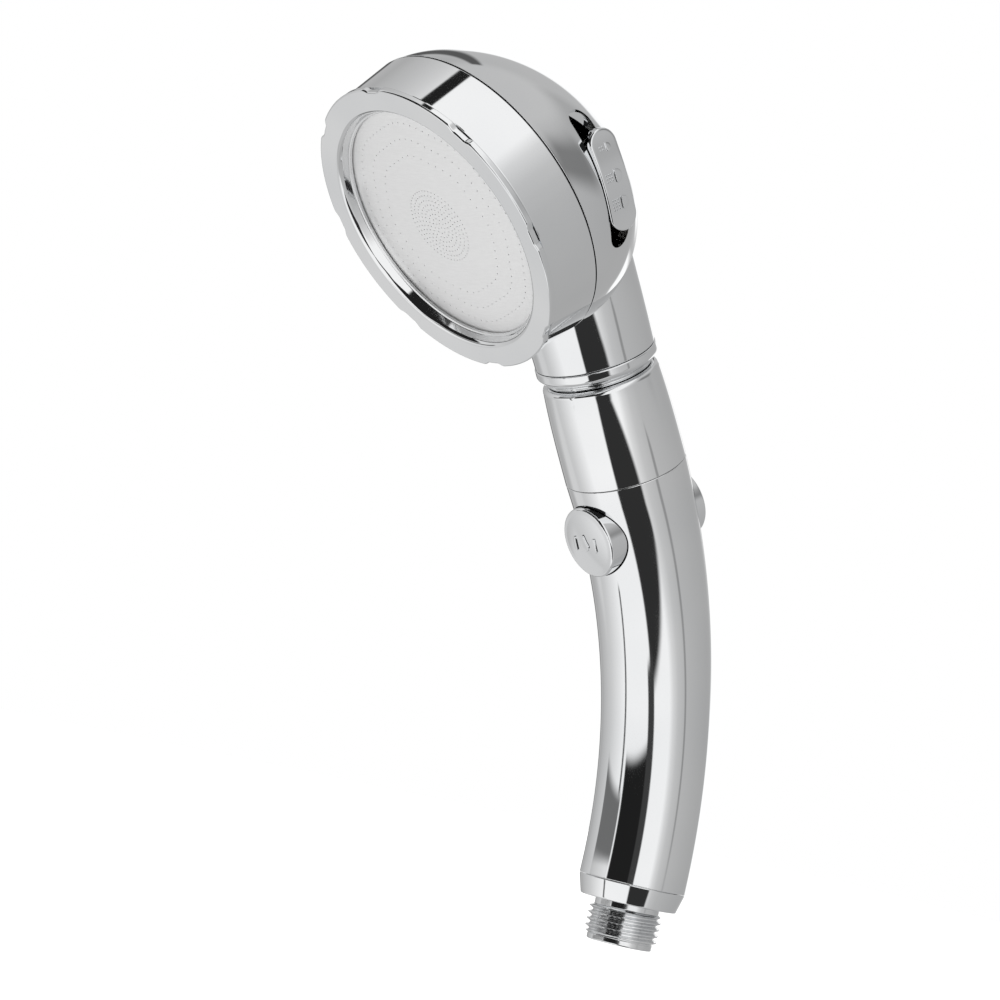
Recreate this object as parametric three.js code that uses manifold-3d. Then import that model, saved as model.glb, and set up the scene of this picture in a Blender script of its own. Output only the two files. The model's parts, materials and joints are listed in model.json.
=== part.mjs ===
// Handheld shower head: a curved grip with a push-through stop button, a swivel neck and a
// three-way spray selector. Millimetres, +Z up. The origin is the centre of the inlet thread's end
// face, the grip starts up along +Z, and the spray side faces -Y. The plane x = 0 halves the body.
import * as THREE from 'three';
import { mergeVertices } from 'three/addons/utils/BufferGeometryUtils.js';
import Module from 'manifold-3d';

const wasm = await Module();
wasm.setup();

// ---------------------------------------------------------------- driving dimensions
const gap = 0.3; // between pieces that meet face to face
const fineGap = 0.15; // half of the gap on each side of a visible seam
const sides = { rim: 40, casing: 28, shell: 20, inner: 12, hole: 6 }; // flats round a full turn

// G 1/2 thread: its depth follows its pitch, and the stub's plain parts follow its root.
const thread = { crest: 10.4, pitch: 1.814, depth: 1.15, start: 1.6, turns: 4.6 };
thread.root = thread.crest - thread.depth;
const inlet = { neck: thread.root - 0.05, leadIn: thread.root + 0.05, bore: 7.0, boreDepth: 12 };
Object.assign(inlet, { flange: thread.crest + 0.9, flangeBottom: 14.5, flangeTop: 16.9, nippleTop: 26 });
const filter = { thickness: 0.8, hole: 0.9, circle: 3.6 };
const restrictor = { bore: 2.6, thickness: 1.6 };

const grip = { bottom: 17.5, length: 119.8, topRadius: 17.15, waist: 0.62, wall: 2.2 };
const bend = { start: 20.6, radius: 179.8, angle: THREE.MathUtils.degToRad(35.45) };
const cap = { bottom: 11.9, taper: 1.6, floor: 2.3, spigotWall: 1.1, spigotHeight: 5, edge: 0.5 };
cap.spigot = inlet.flange + gap + cap.spigotWall;
grip.bottomRadius = cap.spigot + gap + grip.wall;

const pipe = { nipple: 5.2, bore: 3.2, tubeBore: 6.0, tubeOuter: 7.6, endGap: 1 };
const seal = { section: 0.5, groove: 1.1, lift: 0.2, fromTip: 2.3 }; // of a nipple's rubber ring

const valve = { belowCollar: 15.6, bore: 4.2, wall: 3.3, barrelHalf: 8, passage: 2.2, nipple: 5.5 };
valve.barrel = valve.bore + valve.wall;
valve.nippleEnd = valve.barrel + valve.nipple;
const spool = { radius: valve.bore - gap, half: 12.4, waist: 2.4, waistHalf: 2.3, stud: 2, studLength: 3.6 };
const spoolSeal = { at: 6.2, section: 0.42 };
const stopTravel = spool.waistHalf + valve.passage; // from flowing to shut: the waist leaves the passage
const button = { radius: 10.1, front: 19.1, rear: 19.4, crown: 0.5, rearCrown: 2.0, wall: 1.6, edge: 0.8 };
const skirt = { front: pipe.tubeOuter + stopTravel + 0.5, rear: pipe.tubeOuter + 0.8 }; // clear of the tubes

const collar = { height: 28.5, midRadius: 16.9, topRadius: 16.3, shoulder: 1.8, web: 3, wall: 4.1 };
collar.middle = 0.46 * collar.height; // where it is as wide as midRadius
const swivel = { radius: 7.0, running: 0.4, top: 50, flange: 11.8, flangeHeight: 2.6, washer: 15.0 };
const swivelSeals = [35, 39.4];
const clip = { radius: swivel.radius + 1.6, thickness: 1.0, below: 3.3 };
const neckRing = { bottom: 30.2, height: 3.86, radius: 17.0, edge: 1.4, bore: 12.9 };
const neck = { bottomRadius: 16.8, fullRadius: 17.1, full: 18, housing: 12.6, housingTop: 59, passage: 9.5 };
const fairing = [[28, -0.1], [36, -0.9], [44, -2.6], [52, -5.6], [58, -10]]; // rise above the seam, growth

const split = { ahead: 23.5, above: 88.6, depth: 17.24, radius: 42.7 }; // centre of the head's split plane
const tilt = THREE.MathUtils.degToRad(9.88); // of the rim plane against the neck axis
const bezel = { inset: 0.25, wall: 2.8, flange: 1.9, step: 0.6, edge: 0.5 };
Object.assign(bezel, { seat: 3.2, lip: 2.7, opening: 1.36 }); // inwards from the cavity and the pocket
bezel.rim = split.radius - bezel.inset;
bezel.cavity = split.radius - bezel.wall;
bezel.pocket = bezel.cavity - bezel.seat;
bezel.lipRadius = bezel.pocket - bezel.lip;
bezel.inner = bezel.pocket - bezel.opening;
const band = { step: 0.65, from: 1.5, height: 0.8 }; // the narrow bands inside the bezel
const notch = { count: 8, width: 6, depth: 0.9 };
const plate = { front: 4, thickness: 1.0, radius: bezel.pocket - 0.4, crown: 1.75 };
const dome = { height: 38, wall: 2.4, spigotWall: 2.2, spigotDepth: 9, shelf: 2.5 };
dome.spigotOuter = bezel.cavity - gap;
dome.spigotInner = dome.spigotOuter - dome.spigotWall;

const chamber = { radius: 28, wall: 2, front: 1, back: 9.5, ear: 33.2, earHeight: 1.4, screwCircle: 30.6 };
const spray = { behind: 3.3, floor: 1.8, rim: 2, hole: 1.3, rings: [[5, 7], [8, 20], [10, 28]] };
const feed = { height: -22, boss: 7, pipe: 6.5, bore: 4, bottom: 53.4 };
const rotor = { radius: 20, front: 3.6, thickness: 2, shaft: 3.5, shaftEnd: 14.5, bore: 1.5 };
const port = { circle: 14, radius: 2.2 };
const detent = { ball: 1.5, bore: 1.9, boss: 3.2, depth: 2.8, wire: 0.25, coil: 1.25, turns: 3 };
const selector = { centre: 2, halfLength: 14, halfWidth: 4.2, proud: -0.6, height: 6.9, depth: 13.7 };
selector.face = split.radius + selector.proud;
selector.root = selector.face - selector.height;
const selectorTravel = { down: 6.5, up: 10.5 }; // degrees from where it is drawn
const slotSlack = { side: 0.45, end: 1 }; // millimetres, degrees
const lever = { hub: 7, front: 10.5, back: 16, width: 5, engage: 2.2, web: 1.2 };
lever.tip = selector.root + lever.engage;
const chamberScrew = { head: 2.2, headHeight: 1.6, shank: 1.15, length: 9, boss: 3, pilot: 1.4 };
const leverScrew = { head: 3.2, headHeight: 1.7, shank: 1.2, length: 5 };

// ---------------------------------------------------------------- materials
const steel = (color, roughness) => new THREE.MeshStandardMaterial({ color, roughness, metalness: 1 });
const resin = (color, roughness) => new THREE.MeshStandardMaterial({ color, roughness, metalness: 0 });
const chromePlate = () => steel(0xd9dbdd, 0.06);
const brass = () => steel(0xc8a860, 0.3);
const stainless = () => steel(0xc4c6c8, 0.35);
const whiteResin = () => resin(0xe6e4de, 0.5);
const greyResin = () => resin(0x8d9094, 0.5);
const rubber = () => resin(0x1c1c1e, 0.8);

// ---------------------------------------------------------------- solids
// A closed mesh as a solid: vertices are merged, empty triangles go, and the faces point outwards.
function toSolid(geometry) {
  const bare = geometry.clone();
  bare.deleteAttribute('normal');
  bare.deleteAttribute('uv');
  const merged = mergeVertices(bare, 1e-4);
  const xyz = merged.getAttribute('position').array;
  const corners = merged.getIndex().array;
  const kept = [];
  let volume = 0;
  for (let i = 0; i < corners.length; i += 3) {
    const [a, b, c] = corners.slice(i, i + 3);
    if (a === b || b === c || a === c) continue;
    kept.push(a, b, c);
    const [p, q, r] = [a, b, c].map((v) => new THREE.Vector3().fromArray(xyz, 3 * v));
    volume += p.dot(q.cross(r));
  }
  const triVerts = new Uint32Array(volume > 0 ? kept : kept.reverse());
  return new wasm.Manifold(new wasm.Mesh({ numProp: 3, vertProperties: new Float32Array(xyz), triVerts }));
}

function toGeometry(solid) {
  const mesh = solid.getMesh();
  const geometry = new THREE.BufferGeometry();
  geometry.setAttribute('position', new THREE.BufferAttribute(mesh.vertProperties, 3));
  geometry.setIndex(new THREE.BufferAttribute(mesh.triVerts, 1));
  geometry.computeVertexNormals();
  return geometry;
}

// Turns an outline of [radius, z] points about Z. An outline off the axis closes on itself.
function turned(outline, segments = sides.inner) {
  const onAxis = outline[0][0] === 0 && outline.at(-1)[0] === 0;
  const closed = onAxis ? outline : [...outline, outline[0]];
  const geometry = new THREE.LatheGeometry(closed.map(([r, z]) => new THREE.Vector2(r, z)), segments);
  return geometry.rotateX(Math.PI / 2);
}

const rod = (radius, from, to, segments = sides.inner) =>
  turned([[0, from], [radius, from], [radius, to], [0, to]], segments);

const ring = (inner, outer, from, to, segments = sides.inner) =>
  turned([[inner, from], [outer, from], [outer, to], [inner, to]], segments);

// Depths behind the rim or behind the split plane run along -Z of the head's frames.
const backwards = (outline) => outline.map(([radius, depth]) => [radius, -depth]);
const alongY = (geometry) => geometry.rotateX(-Math.PI / 2);
const degrees = THREE.MathUtils.degToRad;
const onCircle = (geometry, radius, angle) => geometry.translate(radius, 0, 0).rotateZ(degrees(angle));
const block = (dx, dy, dz, x, y, z) => new THREE.BoxGeometry(dx, dy, dz).translate(x, y, z);

function sealRing(radius, section, z) {
  return new THREE.TorusGeometry(radius, section, 4, sides.inner).translate(0, 0, z);
}

const cut = (solid, ...tools) => tools.reduce((rest, tool) => rest.subtract(toSolid(tool)), solid);
const join = (solid, ...parts) => parts.reduce((sum, part) => sum.add(toSolid(part)), solid);

// Carries a closed section of [radius, z] points round a helix; fade thins it at both ends.
function helix(section, pitch, turns, segmentsPerTurn, fade = () => 1) {
  const stations = Math.round(turns * segmentsPerTurn) + 1;
  const points = [];
  for (let i = 0; i < stations; i += 1) {
    const angle = (2 * Math.PI * i) / segmentsPerTurn;
    const rise = (pitch * i) / segmentsPerTurn;
    const share = fade(i / (stations - 1));
    const base = section[0][0];
    for (const [r, z] of section) {
      const radius = base + (r - base) * share;
      points.push(radius * Math.cos(angle), radius * Math.sin(angle), z + rise);
    }
  }
  const n = section.length;
  const index = [];
  for (let i = 0; i < stations - 1; i += 1) {
    for (let k = 0; k < n; k += 1) {
      const [a, b] = [i * n + k, i * n + ((k + 1) % n)];
      index.push(a, b, a + n, b, b + n, a + n);
    }
  }
  const last = (stations - 1) * n;
  for (let k = 1; k < n - 1; k += 1) index.push(0, k + 1, k, last, last + k, last + k + 1);
  const geometry = new THREE.BufferGeometry();
  geometry.setAttribute('position', new THREE.Float32BufferAttribute(points, 3));
  return geometry.setIndex(index);
}

// ---------------------------------------------------------------- frames
// The grip's centreline, by the distance s from the inlet face: straight, an arc, then straight.
function gripAxis(s) {
  const arc = bend.radius * bend.angle;
  const turn = THREE.MathUtils.clamp((s - bend.start) / bend.radius, 0, bend.angle);
  const before = Math.min(s, bend.start);
  const after = Math.max(s - bend.start - arc, 0);
  const y = -bend.radius * (1 - Math.cos(turn)) - after * Math.sin(turn);
  const z = before + bend.radius * Math.sin(turn) + after * Math.cos(turn);
  return { y, z, turn };
}

// Bends a piece drawn straight up Z so that it follows the centreline.
function bent(geometry) {
  const position = geometry.getAttribute('position');
  for (let i = 0; i < position.count; i += 1) {
    const { y, z, turn } = gripAxis(position.getZ(i));
    const side = position.getY(i);
    position.setXYZ(i, position.getX(i), y + side * Math.cos(turn), z + side * Math.sin(turn));
  }
  return geometry;
}

function frameAt(s) {
  const { y, z, turn } = gripAxis(s);
  const group = new THREE.Group();
  group.position.set(0, y, z);
  group.rotation.x = turn;
  return group;
}

const collarSeam = grip.bottom + grip.length;
const valvePlace = collarSeam - valve.belowCollar;

const root = new THREE.Group();
root.name = 'handheld_shower_head';
const valveFrame = frameAt(valvePlace); // Y back, Z along the grip
const neckFrame = frameAt(collarSeam); // Z up the neck axis, from the collar's seam
const domeFrame = new THREE.Group(); // Y up the neck, Z forwards, from the split plane's centre
domeFrame.position.set(0, -split.ahead, split.above);
domeFrame.rotation.x = Math.PI / 2;
const rimFrame = new THREE.Group(); // Z is the spray direction, from the rim's centre
rimFrame.position.set(0, -split.depth * Math.sin(tilt), split.depth * Math.cos(tilt));
rimFrame.rotation.x = tilt;
root.add(valveFrame, neckFrame);
neckFrame.add(domeFrame);
domeFrame.add(rimFrame);
for (const frame of [valveFrame, domeFrame, rimFrame]) frame.updateMatrix();
const neckInDome = domeFrame.matrix.clone().invert();

function place(name, shape, material, frame = root) {
  const solid = shape.isBufferGeometry ? toSolid(shape) : shape;
  const mesh = new THREE.Mesh(toGeometry(solid), material);
  mesh.name = name;
  frame.add(mesh);
}

// ---------------------------------------------------------------- inlet and grip
const seamLow = grip.bottom - fineGap;

// A nipple's outline from its root to its tip, with one groove for a sealing ring.
function nippleOutline(from, to, sealAt) {
  const half = seal.section + gap / 2;
  const toward = Math.sign(to - from);
  const floor = pipe.nipple - seal.groove;
  return [
    [pipe.nipple, from], [pipe.nipple, sealAt - toward * half], [floor, sealAt - toward * half],
    [floor, sealAt + toward * half], [pipe.nipple, sealAt + toward * half], [pipe.nipple, to],
  ];
}
const sealCircle = pipe.nipple - seal.groove + seal.section + seal.lift;
const nippleSeal = (z) => sealRing(sealCircle, seal.section, z);
const inletSealAt = inlet.nippleTop - seal.fromTip;

function inletStub() {
  const outline = [
    [inlet.bore, 0], [inlet.leadIn, 0], [inlet.leadIn, thread.start], [thread.root, thread.start],
    [thread.root, cap.bottom - 1], [inlet.neck, cap.bottom - 1], [inlet.neck, inlet.flangeBottom],
    [inlet.flange, inlet.flangeBottom], [inlet.flange, inlet.flangeTop],
    ...nippleOutline(inlet.flangeTop, inlet.nippleTop, inletSealAt),
    [pipe.bore, inlet.nippleTop], [pipe.bore, inlet.boreDepth], [inlet.bore, inlet.boreDepth],
  ];
  const flank = thread.depth / Math.sqrt(3);
  const foot = thread.root - 0.4;
  const ridge = [
    [foot, 0], [foot, 2 * flank + 0.35], [thread.crest, flank + 0.3], [thread.crest, flank + 0.05],
  ];
  const fade = (t) => THREE.MathUtils.clamp(Math.min(t, 1 - t) * thread.turns * 3, 0.1, 1);
  const wound = helix(ridge, thread.pitch, thread.turns, sides.shell, fade);
  return join(toSolid(turned(outline, sides.shell)), wound.translate(0, 0, thread.start + 0.1));
}

const restrictorBottom = inlet.boreDepth - gap - restrictor.thickness;

function inletFilter() {
  const top = restrictorBottom - gap;
  const disc = toSolid(rod(inlet.bore - gap, top - filter.thickness, top));
  const hole = () => rod(filter.hole, 0, inlet.boreDepth, sides.hole);
  const around = Array.from({ length: 6 }, (_, i) => onCircle(hole(), filter.circle, 60 * i));
  return cut(disc, hole(), ...around);
}

function endCap() {
  const inside = inlet.flange + gap;
  const floorTop = cap.bottom + cap.floor;
  const bottomRadius = grip.bottomRadius - cap.taper;
  return turned([
    [inlet.neck + gap, cap.bottom], [bottomRadius - cap.edge, cap.bottom],
    [bottomRadius + 0.1, cap.bottom + cap.edge], [grip.bottomRadius, seamLow],
    [cap.spigot, seamLow], [cap.spigot, seamLow + cap.spigotHeight],
    [inside, seamLow + cap.spigotHeight], [inside, floorTop], [inlet.neck + gap, floorTop],
  ], sides.shell);
}

// The grip's outer radius: an even taper with a shallow waist.
function gripRadius(s) {
  const t = (s - grip.bottom) / grip.length;
  return THREE.MathUtils.lerp(grip.bottomRadius, grip.topRadius, t) - grip.waist * 4 * t * (1 - t);
}

function gripShell() {
  const [from, to] = [grip.bottom + fineGap, collarSeam - fineGap];
  const rows = 9;
  const bendRows = Array.from({ length: rows + 1 }, (_, i) => THREE.MathUtils.lerp(bend.start, to, i / rows));
  const stations = [from, ...bendRows];
  const outer = stations.map((s) => [gripRadius(s), s]);
  const inner = stations.map((s) => [gripRadius(s) - grip.wall, s]).reverse();
  const shell = toSolid(bent(turned([...outer, ...inner], sides.shell)));
  const reach = button.rear + 5;
  const hole = alongY(rod(button.radius + gap, -reach, reach, sides.shell));
  return cut(shell, hole.applyMatrix4(valveFrame.matrix));
}

// A water tube that follows the grip's centreline.
class GripCurve extends THREE.Curve {
  constructor(from, to) {
    super();
    Object.assign(this, { from, to });
  }

  getPoint(t, target = new THREE.Vector3()) {
    const { y, z } = gripAxis(THREE.MathUtils.lerp(this.from, this.to, t));
    return target.set(0, y, z);
  }
}

function waterTube(from, to, steps) {
  const section = new THREE.Shape().absarc(0, 0, pipe.tubeOuter, 0, 2 * Math.PI);
  section.holes.push(new THREE.Path().absarc(0, 0, pipe.tubeBore, 0, 2 * Math.PI, true));
  const extrudePath = new GripCurve(from, to);
  return new THREE.ExtrudeGeometry(section, { steps, curveSegments: 6, extrudePath });
}

place('inlet_stub', inletStub(), brass());
place('inlet_filter', inletFilter(), stainless());
const restrictorRing = ring(restrictor.bore, inlet.bore - gap, restrictorBottom, inlet.boreDepth - gap);
place('flow_restrictor', restrictorRing, whiteResin());
place('inlet_tube_seal', nippleSeal(inletSealAt), rubber());
place('end_cap', endCap(), chromePlate());
place('grip_shell', gripShell(), chromePlate());
const [tubeFoot, tubeHead] = [inlet.flangeTop + pipe.endGap, valvePlace - valve.barrel - pipe.endGap];
place('lower_water_tube', waterTube(tubeFoot, tubeHead, 8), whiteResin());

// ---------------------------------------------------------------- stop valve and its button
const valveSealAt = valve.nippleEnd - seal.fromTip;

function valveBody() {
  const nipples = [-1, 1].map((side) => {
    const tip = side * valve.nippleEnd;
    return turned([[0, 0], ...nippleOutline(0, tip, side * valveSealAt), [0, tip]]);
  });
  const barrel = alongY(rod(valve.barrel, -valve.barrelHalf, valve.barrelHalf));
  const bores = [
    alongY(rod(valve.bore, -valve.barrelHalf - 1, valve.barrelHalf + 1)),
    rod(valve.passage, -valve.nippleEnd - 1, valve.nippleEnd + 1),
    rod(pipe.bore, -valve.nippleEnd - 1, -valve.barrel),
    rod(pipe.bore, valve.barrel, valve.nippleEnd + 1),
  ];
  return cut(join(toSolid(barrel), ...nipples), ...bores);
}

const spoolSeals = [-spoolSeal.at, spoolSeal.at];

function valveSpool() {
  const half = spoolSeal.section + gap / 2;
  const floor = spool.radius - seal.groove;
  const grooves = spoolSeals.map((y) => ring(floor, spool.radius + 1, y - half, y + half));
  const tip = spool.half + spool.studLength;
  const outline = [
    [0, -tip], [spool.stud, -tip], [spool.stud, -spool.half], [spool.radius, -spool.half],
    [spool.radius, -spool.waistHalf], [spool.waist, -spool.waistHalf], [spool.waist, spool.waistHalf],
    [spool.radius, spool.waistHalf], [spool.radius, spool.half], [spool.stud, spool.half],
    [spool.stud, tip], [0, tip],
  ];
  return cut(toSolid(turned(outline)), ...grooves);
}

// A hollow button with a crowned face and a socket for the spool's stud, drawn facing +Z.
function buttonCap(face, crown, skirtEnd) {
  const inner = button.radius - button.wall;
  const ceiling = face - crown - button.wall;
  const socketEnd = spool.half + gap;
  const socket = spool.stud + gap;
  const crowned = (share) => [share * (button.radius - button.edge), face - crown * share * share];
  return turned([
    [0, face], crowned(0.5), crowned(0.8), crowned(1), [button.radius, face - crown - button.edge],
    [button.radius, skirtEnd], [inner, skirtEnd], [inner, ceiling],
    [socket + button.wall, ceiling], [socket + button.wall, socketEnd], [socket, socketEnd],
    [socket, ceiling + gap], [0, ceiling + gap],
  ], sides.shell);
}

place('valve_body', valveBody(), whiteResin(), valveFrame);
place('valve_spool', toGeometry(valveSpool()).rotateX(-Math.PI / 2), whiteResin(), valveFrame);
const spoolSealCircle = spool.radius - seal.groove + spoolSeal.section + 0.08;
spoolSeals.forEach((y, i) => {
  const rubberRing = alongY(sealRing(spoolSealCircle, spoolSeal.section, y));
  place(i ? 'spool_seal_rear' : 'spool_seal_front', rubberRing, rubber(), valveFrame);
});
place('valve_seal_lower', nippleSeal(-valveSealAt), rubber(), valveFrame);
place('valve_seal_upper', nippleSeal(valveSealAt), rubber(), valveFrame);
const frontCap = buttonCap(button.front, button.crown, skirt.front).rotateX(Math.PI / 2);
const rearCap = alongY(buttonCap(button.rear, button.rearCrown, skirt.rear));
place('stop_button_front', frontCap, chromePlate(), valveFrame);
place('stop_button_rear', rearCap, chromePlate(), valveFrame);

// ---------------------------------------------------------------- collar and swivel joint
const webBottom = collar.height - collar.web;
const flangeTop = webBottom - gap;
const flangeBottom = flangeTop - swivel.flangeHeight;
const spigotFoot = 2;
const spigotSealAt = spigotFoot + seal.fromTip;
const clipAt = swivel.top - clip.below;
const bushBottom = neckRing.bottom + gap;
const bushTop = clipAt - gap;
const tubeTop = flangeBottom - 9;

function collarShell() {
  const inside = grip.topRadius - grip.wall - gap;
  const cavity = collar.midRadius - collar.wall;
  const spigotLength = valve.belowCollar - button.radius - 1;
  const shoulderTop = collar.height;
  const hole = swivel.radius + 2 * gap;
  return turned([
    [cavity, -spigotLength], [inside, -spigotLength], [inside, fineGap], [grip.topRadius, fineGap],
    [collar.midRadius, collar.middle], [collar.topRadius, shoulderTop - collar.shoulder],
    [collar.topRadius - 0.5, shoulderTop - 0.6], [collar.topRadius - collar.shoulder, shoulderTop],
    [hole, shoulderTop], [hole, webBottom], [cavity, webBottom],
  ], sides.shell);
}

function swivelSpigot() {
  const floor = swivel.radius - seal.groove;
  const groove = (from, to) => [[swivel.radius, from], [floor, from], [floor, to], [swivel.radius, to]];
  const half = seal.section + gap;
  return turned([
    [pipe.bore, spigotFoot], ...nippleOutline(flangeBottom, spigotFoot, spigotSealAt).reverse(),
    [swivel.flange, flangeBottom], [swivel.flange, flangeTop], [swivel.radius, flangeTop],
    ...swivelSeals.flatMap((z) => groove(z - half, z + half)),
    ...groove(clipAt - gap, clipAt + clip.thickness + gap),
    [swivel.radius, swivel.top], [pipe.bore, swivel.top],
  ]);
}

function retainingClip() {
  const washer = toSolid(ring(swivel.radius - 0.8, clip.radius, clipAt, clipAt + clip.thickness));
  return cut(washer, block(clip.radius, 4, 6, clip.radius, 0, clipAt));
}

function neckRingShell() {
  const { bottom, height, radius, edge, bore } = neckRing;
  const top = bottom + height - gap;
  return turned([
    [bore, bottom], [radius - edge, bottom], [radius - 0.4 * edge, bottom + 0.3 * edge],
    [radius, bottom + edge], [radius, top], [bore, top],
  ], sides.shell);
}

function swivelHousing() {
  const [bottom, bore] = [bushTop + gap, clip.radius + 0.8];
  const [web, throat, socket] = [1.6, 5.6, feed.pipe + gap];
  const ledge = swivel.top + 0.8;
  const [floor, shoulder, collarRadius] = [ledge + web, ledge + web + 0.8, socket + 1.7];
  return turned([
    [bore, bottom], [neck.housing, bottom], [neck.housing, shoulder], [collarRadius, shoulder],
    [collarRadius, neck.housingTop], [socket, neck.housingTop], [socket, floor], [throat, floor],
    [throat, ledge], [bore, ledge],
  ]);
}

const upperTube = waterTube(valvePlace + valve.barrel + pipe.endGap, collarSeam + tubeTop, 4);
const lockRingOuter = collar.midRadius - collar.wall - gap;
const lockRing = ring(pipe.tubeOuter + 2 * gap, lockRingOuter, flangeBottom - 3.2, flangeBottom - gap);
const washerInner = swivel.radius + 2 * gap;
const washer = ring(washerInner, swivel.washer, collar.height + 0.2, neckRing.bottom - 0.2, sides.shell);
const bush = ring(swivel.radius + swivel.running, neck.housing, bushBottom, bushTop);
place('upper_water_tube', upperTube, whiteResin());
place('collar', collarShell(), chromePlate(), neckFrame);
place('swivel_spigot', swivelSpigot(), brass(), neckFrame);
place('spigot_tube_seal', nippleSeal(spigotSealAt), rubber(), neckFrame);
place('spigot_lock_ring', lockRing, greyResin(), neckFrame);
place('swivel_washer', washer, greyResin(), neckFrame);
swivelSeals.forEach((z, i) => {
  place(`swivel_seal_${i + 1}`, sealRing(swivel.radius - 0.5, seal.section, z), rubber(), neckFrame);
});
place('swivel_bush', bush, whiteResin(), neckFrame);
place('retaining_clip', retainingClip(), stainless(), neckFrame);
place('neck_ring', neckRingShell(), chromePlate(), neckFrame);
place('swivel_housing', swivelHousing(), whiteResin(), neckFrame);

// ---------------------------------------------------------------- head casing
const neckSeam = neckRing.bottom + neckRing.height;

// The dome is half an ellipsoid whose sections stay parallel to the rim while it leans on the neck.
function domeSolid(radius, height, front) {
  const rows = 7;
  const outline = [[0, front]];
  for (let i = 0; i <= rows; i += 1) {
    const angle = THREE.MathUtils.lerp(Math.asin(front / height), Math.PI / 2, i / rows);
    outline.push([i === rows ? 0 : radius * Math.cos(angle), height * Math.sin(angle)]);
  }
  const lean = new THREE.Matrix4().makeShear(0, 0, 0, 0, 0, 0);
  lean.elements[9] = Math.tan(tilt);
  return turned(backwards(outline), sides.casing).applyMatrix4(lean).rotateX(tilt);
}

// The neck fills out a little, then closes inside the dome.
function neckSolid() {
  const rise = [[0, neckSeam], [neck.bottomRadius, neckSeam], [neck.fullRadius, neckSeam + neck.full]];
  const top = fairing.map(([above, growth]) => [neck.fullRadius + growth, neckSeam + above]);
  return turned([...rise, ...top, [0, neckSeam + fairing.at(-1)[0]]], sides.shell);
}

// A slot for the selector, swept round the dome's axis; it opens the wall on the +X side only.
const selectorHalfAngle = THREE.MathUtils.radToDeg(selector.halfLength / selector.face);

function stadium(halfLength, halfWidth) {
  const straight = halfLength - halfWidth;
  const shape = new THREE.Shape();
  shape.absarc(0, straight, halfWidth, 0, Math.PI);
  shape.absarc(0, -straight, halfWidth, Math.PI, 2 * Math.PI);
  return shape;
}

// A stadium-ended bar standing out along +X from the dome's axis, tapered like the spokes of a wheel.
function spokeBar(centre, halfAngle, halfWidth, from, to) {
  const halfLength = to * Math.tan(degrees(halfAngle));
  const shape = stadium(halfLength, halfWidth);
  const extrusion = { depth: to - from, steps: 1, bevelEnabled: false, curveSegments: 5 };
  const bar = new THREE.ExtrudeGeometry(shape, extrusion);
  bar.rotateY(Math.PI / 2).translate(from, 0, -selector.depth);
  const position = bar.getAttribute('position');
  for (let i = 0; i < position.count; i += 1) position.setY(i, (position.getY(i) * position.getX(i)) / to);
  return bar.rotateZ(degrees(centre));
}

const screwAngles = [90, 210, 330];
const earThickness = chamber.earHeight;
const seatThickness = 2.3; // of the diverter's seat

// The ring that the bezel slides over, with a shelf that joins it to the dome's wall.
function bezelSpigot() {
  const { spigotInner, spigotOuter, spigotDepth, shelf } = dome;
  const back = -split.depth - shelf;
  const joined = ring(spigotInner, spigotOuter + 1.5, back, -split.depth - 0.4, sides.casing);
  return [joined, ring(spigotInner, spigotOuter, back, -spigotDepth, sides.casing)];
}

function rearShell() {
  const outer = toSolid(domeSolid(split.radius, dome.height, fineGap));
  const clearRim = rod(split.radius + gap, 0, -split.depth - gap, sides.casing).applyMatrix4(rimFrame.matrix);
  const neckPart = cut(toSolid(neckSolid().applyMatrix4(neckInDome)), clearRim);
  const hollow = domeSolid(split.radius - dome.wall, dome.height - dome.wall, -8);
  const bores = [
    rod(neckRing.bore, neckSeam - 1, neck.housingTop + 1, sides.shell),
    rod(neck.passage, neckSeam, split.above - 24),
  ].map((bore) => bore.applyMatrix4(neckInDome));
  const casing = cut(outer.add(neckPart), hollow, ...bores);
  const rings = bezelSpigot().map((geometry) => geometry.applyMatrix4(rimFrame.matrix));
  const { boss, pilot } = chamberScrew;
  const foot = chamber.back - 2.4 + earThickness + gap;
  const onScrews = (radius, from, to) =>
    screwAngles.map((angle) => onCircle(rod(radius, -from, -to, sides.hole), chamber.screwCircle, angle));
  const bosses = onScrews(boss, foot, dome.height).map((geometry) => toSolid(geometry).intersect(outer));
  const pilots = onScrews(pilot, foot - 1, foot + 8);
  const { down, up } = selectorTravel;
  const slotCentre = selector.centre + (up - down) / 2;
  const slotHalfAngle = selectorHalfAngle + (up + down) / 2 + slotSlack.end;
  const slotHalfWidth = selector.halfWidth + slotSlack.side;
  const slot = spokeBar(slotCentre, slotHalfAngle, slotHalfWidth, selector.root - 4, selector.face + 8);
  const body = bosses.reduce((sum, part) => sum.add(part), join(casing, ...rings));
  return cut(body, ...pilots, slot);
}

function bezelRing() {
  const { rim, inner, edge, flange, step, cavity, pocket, lipRadius } = bezel;
  const back = split.depth - fineGap;
  const seat = plate.front - gap;
  const bandEnd = band.from + 0.5 + band.height;
  const outline = [
    [inner, edge], [inner + edge, 0], [rim - edge, 0], [rim, edge], [rim, flange], [rim - step, flange + gap],
    [split.radius - 0.05, back - 0.5], [split.radius - 0.4, back], [cavity, back],
    [cavity, dome.spigotDepth - 0.9], [pocket, dome.spigotDepth - 0.9], [pocket, seat],
    [lipRadius, seat], [lipRadius, bandEnd + 0.5], [inner - band.step, bandEnd],
    [inner - band.step, band.from + 0.5], [inner, band.from],
  ];
  const notches = Array.from({ length: notch.count }, (_, i) => {
    const tool = block(4, notch.width, 2 * flange + 0.2, rim - notch.depth + 2, 0, 0);
    return tool.rotateZ(Math.PI / 2 + (2 * Math.PI * i) / notch.count);
  });
  return cut(toSolid(turned(backwards(outline), sides.rim)), ...notches);
}

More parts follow.
